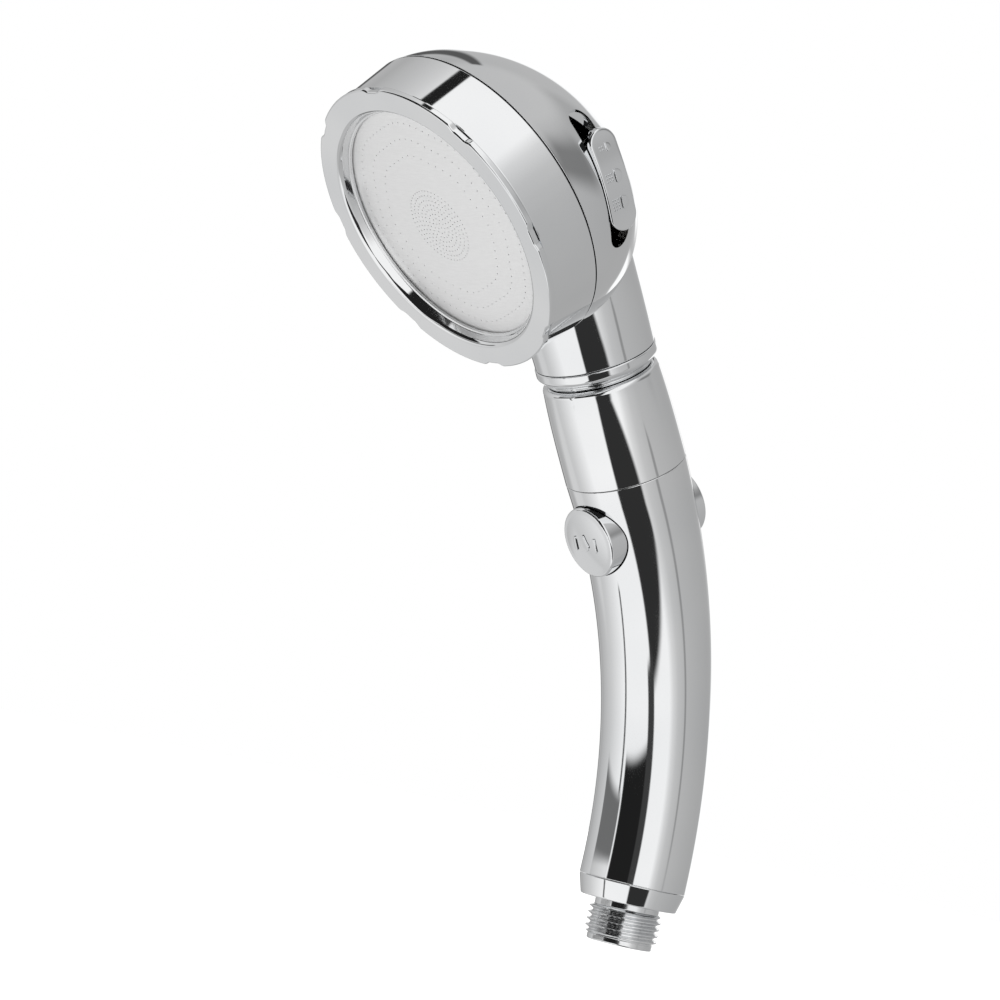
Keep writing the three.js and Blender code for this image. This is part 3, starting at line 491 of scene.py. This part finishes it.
# %% Dome, neck and slot
SPLIT_DEPTH, SPLIT_RADIUS = 17.24, 42.7
DOME_HEIGHT, DOME_WALL = 38.0, 2.4
SPLIT_SEAM = 0.18  # half of the split line's gap, wider than the other seams
NECK_RADII = [  # height above the seam, radius
    (0.8, 16.82), (9, 17.0), (18, 17.1), (28, 17.0), (36, 16.2), (44, 14.5), (52, 11.5)]


def dome_grid(radius, height, front, edge):
    """r = radius cos t, depth = height sin t, leaned by y -= depth tan(tilt), with a flat front."""
    t = np.linspace(math.asin((front + edge) / height), np.pi / 2, 150)
    curve = np.stack([radius * np.cos(t), height * np.sin(t)], axis=1)
    curve[-1, 0] = 0
    lip = rounded([(0, front, 0), (curve[0, 0] + 0.02, front, edge), (*curve[0], 0)], False)
    outline = np.vstack([lip[:-1], curve])
    outline[:, 1] *= -1
    grid = turned(outline, 288)
    grid[..., 1] += math.tan(head_tilt) * grid[..., 2]
    turn = np.array([[1, 0, 0], [0, math.cos(head_tilt), -math.sin(head_tilt)],
                     [0, math.sin(head_tilt), math.cos(head_tilt)]])
    return grid @ turn.T


def smooth_curve(knots, count):
    """Cubic Hermite through knots (x, y) with slopes from the neighbours, at even steps of x."""
    x, y = np.array(knots, float).T
    slope = np.gradient(y, x)
    at = np.linspace(x[0], x[-1], count)
    k = np.clip(np.searchsorted(x, at, side="right") - 1, 0, len(x) - 2)
    width = x[k + 1] - x[k]
    t = (at - x[k]) / width
    value = ((1 + 2 * t) * (1 - t) ** 2 * y[k] + t * (1 - t) ** 2 * width * slope[k]
             + t**2 * (3 - 2 * t) * y[k + 1] + t**2 * (t - 1) * width * slope[k + 1])
    return np.stack([value, at], axis=1)


def neck_grid():
    rise = smooth_curve(NECK_RADII, 120)
    rise[:, 1] += RING_TOP
    low = rounded([(0, RING_TOP + 0.07, 0), (16.8, RING_TOP + 0.07, 0.25), (*rise[0], 0)], False)
    outline = np.vstack([low[:-1], rise, [(0, RING_TOP + 56)]])
    return turned(outline, 256)


def stadium(low, high, half_width, count=200):
    """A stadium in (y, z) from y = low to y = high: a quarter of the points lies on each half circle
    and a quarter on each straight, so that two stadiums of different size match point by point."""
    quarter = count // 4
    angle = np.linspace(0, np.pi, quarter + 1)[:-1]
    share = np.linspace(0, 1, quarter + 1)[:-1]
    top, bottom = high - half_width, low + half_width
    y = np.concatenate([top + half_width * np.sin(angle), top + (bottom - top) * share,
                        bottom - half_width * np.sin(angle), bottom + (top - bottom) * share])
    z = np.concatenate([half_width * np.cos(angle), np.full(quarter, -half_width),
                        -half_width * np.cos(angle), np.full(quarter, half_width)])
    return y, z


SELECTOR_DEPTH, SELECTOR_CENTRE = 13.7, math.radians(2)
FACE_X, ROOT_X, KNOB_HALF_LENGTH, KNOB_HALF_WIDTH = 42.1, 35.2, 14.0, 4.4
SLOT_SLACK = 0.3
TRAVEL_DOWN, TRAVEL_UP = math.radians(6.5), math.radians(10.5)


def spoke_place(grid):
    """Turns a bar that stands out along X by the selector's angle and moves it to its depth."""
    c, s = math.cos(SELECTOR_CENTRE), math.sin(SELECTOR_CENTRE)
    x, y, z = grid[..., 0], grid[..., 1], grid[..., 2]
    return np.stack([x * c - y * s, x * s + y * c, z - SELECTOR_DEPTH], axis=-1)


def slot_grid():
    """The slot's tool: a stadium that grows with x as a wheel's spokes part, from inside to outside."""
    half_angle = KNOB_HALF_LENGTH / FACE_X + math.radians(1)
    down, up = math.tan(half_angle + TRAVEL_DOWN), math.tan(half_angle + TRAVEL_UP)
    levels = np.array([31.0, 31.0, 50.0, 50.0])
    rows = [stadium(-x * down, x * up, KNOB_HALF_WIDTH + SLOT_SLACK) for x in levels]
    columns = [np.stack([np.full(len(y), x), y, z], axis=-1) for x, (y, z) in zip(levels, rows)]
    grid = np.stack(columns, axis=1)
    grid[:, [0, -1], 1:] = 0
    return spoke_place(grid)


def rear_shell():
    dome = dome_grid(SPLIT_RADIUS, DOME_HEIGHT, SPLIT_SEAM, 0.22)
    shell = piece("rear_casing", dome, dome_frame, closed=False)
    neck = piece("neck", neck_grid(), neck_frame, closed=False)
    rim_room = turned(rounded([(0, -SPLIT_DEPTH - 0.1, 0), (SPLIT_RADIUS + 0.35, -SPLIT_DEPTH - 0.1, 0),
                               (SPLIT_RADIUS + 0.35, 1, 0), (0, 1, 0)], False), 288)
    combine(neck, piece("rim_room", rim_room, rim_frame, closed=False))
    combine(shell, neck, "UNION")
    hollow = dome_grid(SPLIT_RADIUS - DOME_WALL, DOME_HEIGHT - DOME_WALL, -2, 0.1)
    combine(shell, piece("hollow", hollow, dome_frame, closed=False))
    bore = turned(np.array([(0, 30.0), (12.9, 30.0), (12.9, 60.0), (9.5, 60.0), (9.5, 66.0), (0, 66.0)]), 96)
    combine(shell, piece("bore", bore, neck_frame, closed=False))
    return combine(shell, piece("slot", slot_grid(), dome_frame, closed=False))


finish_piece(rear_shell(), CHROME, "head", "plated_abs", "rear_shell")

# %% [markdown]
# ## The bezel
# The front ring screws onto the dome. Its thin front flange has eight shallow notches for wet
# fingers. Its inner edge is rolled in, and one narrow step leads down to the spray plate. A notch is
# a dip in the flange's radius: a smooth step up and down round the ring, times a weight that is one
# on the flange and none elsewhere.

# %% Bezel ring
RIM_RADIUS, RIM_INNER, FLANGE = 42.45, 35.54, 1.9
CAVITY_RADIUS, CAVITY_FRONT, POCKET_RADIUS, PLATE_SEAT = 39.9, 8.1, 36.7, 3.75
PLATE_FRONT, PLATE_RADIUS, LIP_RADIUS = 4.0, 36.3, 34.0
PLATE_CROWN, PLATE_BULGE = 1.75, 33.6  # how far the plate's middle stands forward, within this radius
NOTCHES, NOTCH_HALF_WIDTH, NOTCH_DEPTH, NOTCH_RAMP = 8, 3.0, 0.9, 1.3


def smooth_step(low, high, value):
    """3t^2 - 2t^3 between two limits, and flat outside them."""
    t = np.clip((value - low) / (high - low), 0, 1)
    return t * t * (3 - 2 * t)


def bezel_ring():
    back = SPLIT_DEPTH - SPLIT_SEAM
    outline = rounded(backwards([
        (RIM_INNER, 0, 1.7), (RIM_RADIUS, 0, 0.55), (RIM_RADIUS, FLANGE, 0.25),
        (RIM_RADIUS - 0.6, FLANGE + 0.25, 0.1), (RIM_RADIUS - 0.55, FLANGE + 0.6, 0.1),
        (SPLIT_RADIUS, back, 0.22), (CAVITY_RADIUS, back, 0), (CAVITY_RADIUS, CAVITY_FRONT, 0),
        (POCKET_RADIUS, CAVITY_FRONT, 0), (POCKET_RADIUS, PLATE_SEAT, 0), (LIP_RADIUS, PLATE_SEAT, 0),
        (LIP_RADIUS, PLATE_SEAT - 0.65, 0.12), (LIP_RADIUS + 0.6, 2.9, 0.3)]))
    sides = 960
    grid = turned(outline, sides)
    radius = np.hypot(grid[..., 0], grid[..., 1])
    angle = np.linspace(0, 2 * np.pi, sides, endpoint=False)[:, None]
    spacing = 2 * np.pi / NOTCHES
    from_notch = np.abs((angle + spacing / 2) % spacing - spacing / 2) * RIM_RADIUS
    dip = 1 - smooth_step(NOTCH_HALF_WIDTH - NOTCH_RAMP, NOTCH_HALF_WIDTH + NOTCH_RAMP, from_notch)
    on_flange = smooth_step(RIM_RADIUS - 1.6, RIM_RADIUS - 0.5, radius) * (grid[..., 2] > -FLANGE - 0.28)
    scale = 1 - NOTCH_DEPTH * dip * on_flange / radius
    grid[..., :2] *= scale[..., None]
    return piece("bezel", grid, rim_frame)


finish_piece(bezel_ring(), CHROME, "head", "plated_abs", "bezel_ring")

# %% [markdown]
# ## The spray plate
# A laser cuts about four hundred fine holes in the steel: three wide rings near the edge and a
# dense cluster in the middle. The rings are slightly wavy, which spreads the jets. The press crowns
# the plate, so its middle stands forward by a parabola. Each hole is one small drill of eight sides,
# and all the drills are one mesh that cuts the plate in a single step.

# %% Spray plate and its holes
HOLE_RADIUS = 0.17
WIDE_RINGS = [(30.0, 80, 0.45), (25.4, 64, 0.45), (20.6, 48, 0.4)]  # radius, holes, wave
CLUSTER = [(10.6, 52, 0.0), (9.2, 44, 0.0), (7.8, 38, 0.0), (6.4, 31, 0.0), (5.0, 24, 0.0), (3.6, 17, 0.0),
           (2.2, 10, 0.0), (0.9, 4, 0.0)]


def hole_places():
    """Places on each ring: an even step of angle, with the radius on a wave of eight periods."""
    places = []
    for radius, count, wave in WIDE_RINGS + CLUSTER:
        angle = np.linspace(0, 2 * np.pi, count, endpoint=False) + radius
        r = radius + wave * np.cos(8 * angle)
        places.append(np.stack([r * np.cos(angle), r * np.sin(angle)], axis=1))
    return np.vstack(places)


def spray_plate():
    back = PLATE_FRONT + 1.0
    r = np.linspace(0, PLATE_BULGE, 40)
    depth = PLATE_FRONT - PLATE_CROWN * (1 - (r / PLATE_BULGE) ** 2)
    rim = rounded([(PLATE_BULGE, -PLATE_FRONT, 0), (PLATE_RADIUS, -PLATE_FRONT, 0.1),
                   (PLATE_RADIUS, -back, 0.1), (PLATE_BULGE, -back, 0)], False)[1:-1]
    outline = np.vstack([np.stack([r, -depth], axis=1), rim, np.stack([r, -depth - 1.0], axis=1)[::-1]])
    plate = piece("perforated_plate", turned(outline, 192), rim_frame, closed=False)
    low, high = -back - 0.5, PLATE_CROWN - PLATE_FRONT + 0.75
    drill = turned(np.array([(0, low), (HOLE_RADIUS, low), (HOLE_RADIUS, high), (0, high)]), 8)
    places = hole_places()
    drills = [drill + np.array([x, y, 0]) for x, y in places]
    print("holes", len(places))
    return combine(plate, piece("drills", drills[0], rim_frame, closed=False, more=drills[1:]))


finish_piece(spray_plate(), STEEL, "head", "stainless", "spray_plate")

# %% [markdown]
# ## The spray selector
# The selector is a long chrome key that slides in the slot on the side of the dome. Its face has a
# slight bend across the middle for the thumb. The surface is a stadium drawn in steps: from the
# middle line outwards over the face, round the edge, and down the side into the slot.

# %% Selector knob
KNOB_EDGE, KNOB_BEND = 0.7, 0.9
KNOB_STRAIGHT = 39.0  # the upper end stands straight down to here, and leans in only inside the slot


def knob_grid():
    """Insets of one stadium, from the middle line to the edge, then a quarter circle, then the side."""
    inset = np.concatenate([np.linspace(KNOB_HALF_WIDTH, KNOB_EDGE, 10, endpoint=False),
                            KNOB_EDGE * (1 - np.sin(np.linspace(0, np.pi / 2, 8))), np.zeros(10),
                            np.full(1, KNOB_HALF_WIDTH)])
    drop = np.concatenate([np.zeros(10), KNOB_EDGE * (1 - np.cos(np.linspace(0, np.pi / 2, 8))),
                           np.linspace(1.2, FACE_X - ROOT_X, 10), np.full(1, FACE_X - ROOT_X)])
    columns = []
    for cut, down in zip(inset, drop):
        y, z = stadium(cut - KNOB_HALF_LENGTH, KNOB_HALF_LENGTH - cut, KNOB_HALF_WIDTH - cut)
        x = FACE_X - down
        on_face = np.clip(1 - down / 3, 0, 1)
        bend = KNOB_BEND * smooth_step(1.5, KNOB_HALF_LENGTH, np.abs(y)) * on_face
        lean = np.where(y > 0, min(1, x / KNOB_STRAIGHT), x / FACE_X)
        columns.append(np.stack([x - bend, y * lean, z], axis=-1))
    return spoke_place(np.stack(columns, axis=1))


finish_piece(piece("selector_key", knob_grid(), dome_frame, closed=False), CHROME, "selector", "plated_abs",
             "selector_knob")

# %% [markdown]
# ## The stop button
# One button passes through the grip: pressed from the front it stops the water, pressed from the
# rear it lets it flow. Both caps are turned about the slide's axis, the front one nearly flat and
# the rear one crowned. A raised drop between two bars marks the front face.

# %% Button caps
BUTTON_WALL, BUTTON_CEILING = 1.6, 13.5


def button_cap(name, face, crown, edge, skirt_end, side):
    """A cap whose face falls from its middle as crown times the square of the radius."""
    share = np.linspace(0, 1, 24)
    r = share * (BUTTON_RADIUS - edge)
    crowned = np.stack([r, face - crown * share**2], axis=1)
    rim = rounded([(*crowned[-1], 0), (BUTTON_RADIUS, face - crown - 0.15, edge),
                   (BUTTON_RADIUS, skirt_end, 0.2), (BUTTON_RADIUS - BUTTON_WALL, skirt_end, 0),
                   (BUTTON_RADIUS - BUTTON_WALL, BUTTON_CEILING, 0), (0, BUTTON_CEILING, 0)], False)
    outline = np.vstack([crowned, rim[1:]])
    outline[:, 1] *= side
    return piece(name, turned(outline), valve_frame, closed=False)


FRONT_FACE, FRONT_CROWN, FRONT_EDGE = 19.9, 0.95, 1.5
FRONT_SKIRT, REAR_SKIRT = 12.6, 8.4  # how near to the valve's middle each skirt reaches
front_cap = button_cap("stop_cap_front", FRONT_FACE, FRONT_CROWN, FRONT_EDGE, FRONT_SKIRT, -1)
finish_piece(front_cap, CHROME, "stop_button", "plated_abs", "stop_button_front")
rear_cap = button_cap("stop_cap_rear", 18.4, 1.9, 1.4, REAR_SKIRT, 1)
finish_piece(rear_cap, CHROME, "stop_button", "plated_abs", "stop_button_rear")

# %% [markdown]
# ## Raised signs
# The signs on the button and on the selector are moulded with the part and plated over, so they
# are low pads with soft edges. A pad is an outline that shrinks towards its middle: one parameter
# goes round the outline and the other goes from the middle over the edge and down into the face.
# A function then lays the flat pad on the curved face.

# %% Sign helpers
def pad(outline, height, edge=0.12, sink=0.15):
    """Rows that scale an outline about its middle from 0 to 1, level at first, then falling as a
    quarter circle of the edge, then straight down below the face."""
    middle = outline.mean(axis=0)
    reach = np.linalg.norm(outline - middle, axis=1).mean()
    turn = np.linspace(0, np.pi / 2, 5)
    scale = np.concatenate([[0, 0.4], 1 - edge / reach * (1 - np.sin(turn)), [1.0]])
    level = np.concatenate([[height, height], height - edge * (1 - np.cos(turn)), [-sink]])
    flat = middle + (outline - middle)[:, None] * scale[None, :, None]
    return np.concatenate([flat, np.broadcast_to(level[None, :, None], flat.shape[:2] + (1,))], axis=-1)


def disc(x, y, radius, count=20):
    """A circle's outline."""
    angle = np.linspace(0, 2 * np.pi, count, endpoint=False)
    return np.stack([x + radius * np.cos(angle), y + radius * np.sin(angle)], axis=1)


def bar(x, y, half_x, half_y, count=32):
    """A rounded bar as a superellipse: |x/a|^5 + |y/b|^5 = 1."""
    angle = np.linspace(0, 2 * np.pi, count, endpoint=False)
    c, s = np.cos(angle), np.sin(angle)
    across, along = np.sign(c) * np.abs(c) ** 0.4, np.sign(s) * np.abs(s) ** 0.4
    return np.stack([x + half_x * across, y + half_y * along], axis=1)


def drop(x, y, radius, count=48):
    """A water drop: a circle whose upper half is pinched to a tip as the fourth power of the sine."""
    angle = np.linspace(0, 2 * np.pi, count, endpoint=False)
    up = np.clip(np.sin(angle), 0, 1)
    across, along = np.cos(angle) * (1 - 0.35 * up), np.sin(angle) + 0.9 * up**4
    return np.stack([x + radius * across, y + radius * along], axis=1)


def half_disc(x, y, radius, count=40):
    """The upper half of a circle, closed by a straight line with rounded corners."""
    angle = np.linspace(0, 2 * np.pi, count, endpoint=False)
    low = np.clip(-np.sin(angle), 0, 1)
    along = np.clip(np.sin(angle), 0, 1) - 0.18 * low**0.5
    return np.stack([x + radius * np.cos(angle), y + radius * along], axis=1)


def signs(name, outlines, height, lay, matrix):
    """All pads of one sign in one mesh, each laid on its face by lay(u, v, level)."""
    pads = []
    for outline in outlines:
        flat = pad(outline, height)
        pads.append(np.stack(lay(flat[..., 0], flat[..., 1], flat[..., 2]), axis=-1))
    return piece(name, pads[0], matrix, closed=False, more=pads[1:])


# %% The button's sign: a drop between two bars
def on_button(u, v, level):
    """Up on the grip is -y of the valve's frame, and out of the front face is -z."""
    face = FRONT_FACE - FRONT_CROWN * (u * u + v * v) / (BUTTON_RADIUS - FRONT_EDGE) ** 2
    return u, -v, -(face + level)


button_sign = signs("stop_sign", [drop(0, -0.35, 1.7), bar(-4.1, 0, 0.55, 2.1), bar(4.1, 0, 0.55, 2.1)], 0.35,
                    on_button, valve_frame)
finish_piece(button_sign, CHROME, "stop_button", "plated_abs")

# %% The selector's signs: three spray patterns
def on_key(u, v, level):
    """u runs across the key towards the rim and v along it; the face falls away with the key's bend."""
    x = FACE_X - KNOB_BEND * smooth_step(1.5, KNOB_HALF_LENGTH, np.abs(v)) + level
    y, z, c, s = v * x / FACE_X, u, math.cos(SELECTOR_CENTRE), math.sin(SELECTOR_CENTRE)
    return x * c - y * s, x * s + y * c, z - SELECTOR_DEPTH


def dots(u, v, across, along, step=0.9, radius=0.27):
    """A block of round dots: columns step towards the rim from u, rows lie evenly about v."""
    rows = step * (np.arange(along) - (along - 1) / 2)
    return [disc(u + step * i, v + row, radius, 12) for i in range(across) for row in rows]


def head(v, radius=1.9):
    """A shower head seen from the side: a half disc whose flat side faces the rim."""
    upright = half_disc(0, 0, radius)
    return np.stack([-upright[:, 1] - 0.35, upright[:, 0] + v], axis=1)


DOTS_FROM = 0.75
patterns = [head(9.0, 1.3), *dots(DOTS_FROM, 9.0, 2, 2), head(1.0), *dots(DOTS_FROM, 1.0, 3, 3),
            head(-6.4), *dots(DOTS_FROM, -6.4, 3, 4)]
finish_piece(signs("selector_signs", patterns, 0.32, on_key, dome_frame), CHROME, "selector", "plated_abs")

# %% [markdown]
# ## The pieces that stay as they are
# Seals, tubes, valve and diverter are inside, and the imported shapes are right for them. They only
# need the finish of what they are made of, by the slot that the record gives each one.

# %% Finishes of the inner pieces
BY_SLOT = {"plated_abs": CHROME, "plated_brass": THREAD, "stainless": STEEL, "white_resin": WHITE_RESIN,
           "grey_resin": GREY_RESIN, "seal_rubber": SEAL_RUBBER}
for part in frame["record"]["subparts"]:
    node = frame["nodes"][part["node"]]
    node.data.materials.clear()
    node.data.materials.append(BY_SLOT[part["material_slot"]])

# %% [markdown]
# ## The studio
# A mirror shows the room, so the room is the light, and chrome looks like chrome only if the room
# has contrast: soft boxes, grey walls and black flags between them. The world paints that room by
# direction. A ramp round the compass gives the walls, and a few soft-edged rectangles of azimuth
# and elevation give the flags and strip lights. The camera itself sees plain white.

# %% Studio helpers
def studio_direction(tree):
    """The azimuth from +X towards +Y, and the elevation, of the direction looked in, in degrees."""
    split_up = tree.nodes.new("ShaderNodeSeparateXYZ")
    tree.links.new(tree.nodes.new("ShaderNodeTexCoord").outputs["Generated"], split_up.inputs[0])
    around = sum_node(tree, "ARCTAN2", split_up.outputs["Y"], split_up.outputs["X"])
    above = sum_node(tree, "ARCSINE", split_up.outputs["Z"])
    return sum_node(tree, "MULTIPLY", around, 180 / math.pi), sum_node(tree, "MULTIPLY", above, 180 / math.pi)


def sum_node(tree, operation, *values):
    """One Math node; each value is a socket or a number."""
    node = tree.nodes.new("ShaderNodeMath")
    node.operation = operation
    for socket, value in zip(node.inputs, values):
        if isinstance(value, (int, float)):
            socket.default_value = value
        else:
            tree.links.new(value, socket)
    return node.outputs[0]


def inside(tree, angle, low, high, soft):
    """1 where the angle is between low and high, falling to 0 over soft degrees beyond them."""
    off = sum_node(tree, "ABSOLUTE", sum_node(tree, "SUBTRACT", angle, (low + high) / 2))
    edge = tree.nodes.new("ShaderNodeMapRange")
    edge.interpolation_type = "SMOOTHSTEP"
    half = (high - low) / 2
    limits = {"From Min": half - soft / 2, "From Max": half + soft / 2, "To Min": 1, "To Max": 0}
    for name, value in limits.items():
        edge.inputs[name].default_value = value
    tree.links.new(off, edge.inputs["Value"])
    return edge.outputs["Result"]


def hang(tree, level, around, above, card):
    """Mixes a card's brightness over what is behind it."""
    low, high, bottom, top, bright, soft = card
    beside = inside(tree, around, low, high, soft)
    upright = inside(tree, above, bottom, top, soft)
    mask = sum_node(tree, "MULTIPLY", beside, upright)
    change = sum_node(tree, "MULTIPLY", sum_node(tree, "SUBTRACT", bright, level), mask)
    return sum_node(tree, "ADD", level, change)


# %% The room by direction
WALLS = [  # azimuth, brightness
    (-180, 0.50), (-165, 0.58), (-150, 0.66), (-135, 0.78), (-120, 0.90), (-110, 0.98), (-8, 0.98),
    (0, 0.74), (10, 0.58), (25, 0.50), (60, 0.45), (90, 0.42), (108, 0.42), (120, 0.50), (150, 0.50),
    (170, 0.43), (180, 0.50)]
CARDS = [  # azimuth from, to, elevation from, to, brightness, soft edge
    (5, 185, 58, 95, 0.56, 14),  # ceiling over the grey wall
    (22, 62, 22, 48, 0.22, 16),  # darker patch of the wall
    (-100, -47, -19, 57, 0.015, 3),  # black flag in front
    (-136, -113, 0, 78, 0.015, 4),  # its narrow top
    (-120, -95, 0, 57, 0.015, 4),
    (-46, 1, -72, -25, 0.03, 4),  # dark floor edge under the soft box
    (-53, -40, -30, 0, 0.05, 3),  # its upright, beside the flag
    (-150, -103, -13, -2.5, 0.17, 3),  # grey skirting
    (-110, -106, -45, -13, 0.12, 2),
    (24, 28, -20, -2, 0.30, 2),  # a seam of the wall
    (162, 190, -62, -24, 0.68, 8),  # pale floor behind
    (-190, -160, -62, -24, 0.68, 8),
    (113, 147, -7, 4, 1.05, 3),  # strip light behind
    (121, 149, 8, 30, 1.05, 4),
    (150, 157, -40, 60, 0.10, 3),  # stand of the strip light
]
world = bpy.data.worlds.new("studio")
bpy.context.scene.world = world
world.use_nodes = True
tree = world.node_tree
backdrop = tree.nodes["Background"]
around, above = studio_direction(tree)
ramp = tree.nodes.new("ShaderNodeValToRGB")
stops = ramp.color_ramp.elements
while len(stops) < len(WALLS):
    stops.new(0.5)
for stop, (angle, bright) in zip(stops, WALLS):
    stop.position, stop.color = angle / 360 + 0.5, (bright, bright, bright, 1)
tree.links.new(sum_node(tree, "ADD", sum_node(tree, "MULTIPLY", around, 1 / 360), 0.5), ramp.inputs["Fac"])
level = ramp.outputs["Color"]
for card in CARDS:
    level = hang(tree, level, around, above, card)
tree.links.new(level, backdrop.inputs["Color"])
backdrop.inputs["Strength"].default_value = 1.05
plain = tree.nodes.new("ShaderNodeBackground")
plain.inputs["Color"].default_value = (1, 1, 1, 1)
choose = tree.nodes.new("ShaderNodeMixShader")
tree.links.new(tree.nodes.new("ShaderNodeLightPath").outputs["Is Camera Ray"], choose.inputs["Fac"])
tree.links.new(backdrop.outputs[0], choose.inputs[1])
tree.links.new(plain.outputs[0], choose.inputs[2])
tree.links.new(choose.outputs[0], tree.nodes["World Output"].inputs["Surface"])
bpy.context.scene.view_settings.view_transform = "Standard"
print("room of", len(WALLS), "wall stops and", len(CARDS), "cards")

# %% A plain pale floor
floor_mesh = bpy.data.meshes.new("floor")
floor_mesh.from_pydata([(-6, -6, -0.2), (6, -6, -0.2), (6, 6, -0.2), (-6, 6, -0.2)], [], [(0, 1, 2, 3)])
floor = bpy.data.objects.new("floor", floor_mesh)
bpy.context.scene.collection.objects.link(floor)
floor.visible_glossy = False  # the chrome mirrors the room below it, not the table
floor_paint, _, floor_shader = new_material("pale_floor", 0.0, 0.9, (0.9, 0.9, 0.9))
floor_shader.inputs["Emission Color"].default_value = (1, 1, 1, 1)
floor_shader.inputs["Emission Strength"].default_value = 0.75
floor_mesh.materials.append(floor_paint)

# %% [markdown]
# ## The camera
# A long lens from the front right, almost level with the grip.

# %% Camera
camera_data = bpy.data.cameras.new("camera")
camera_data.sensor_width, camera_data.lens = 36.0, 139.6
camera_data.clip_start, camera_data.clip_end = 0.05, 50.0
camera = bpy.data.objects.new("camera", camera_data)
camera.location = (0.81766, -0.72410, 0.06080)
camera.rotation_euler = tuple(math.radians(a) for a in (92.8633, -12.9683, 50.9960))
bpy.context.scene.collection.objects.link(camera)
bpy.context.scene.camera = camera
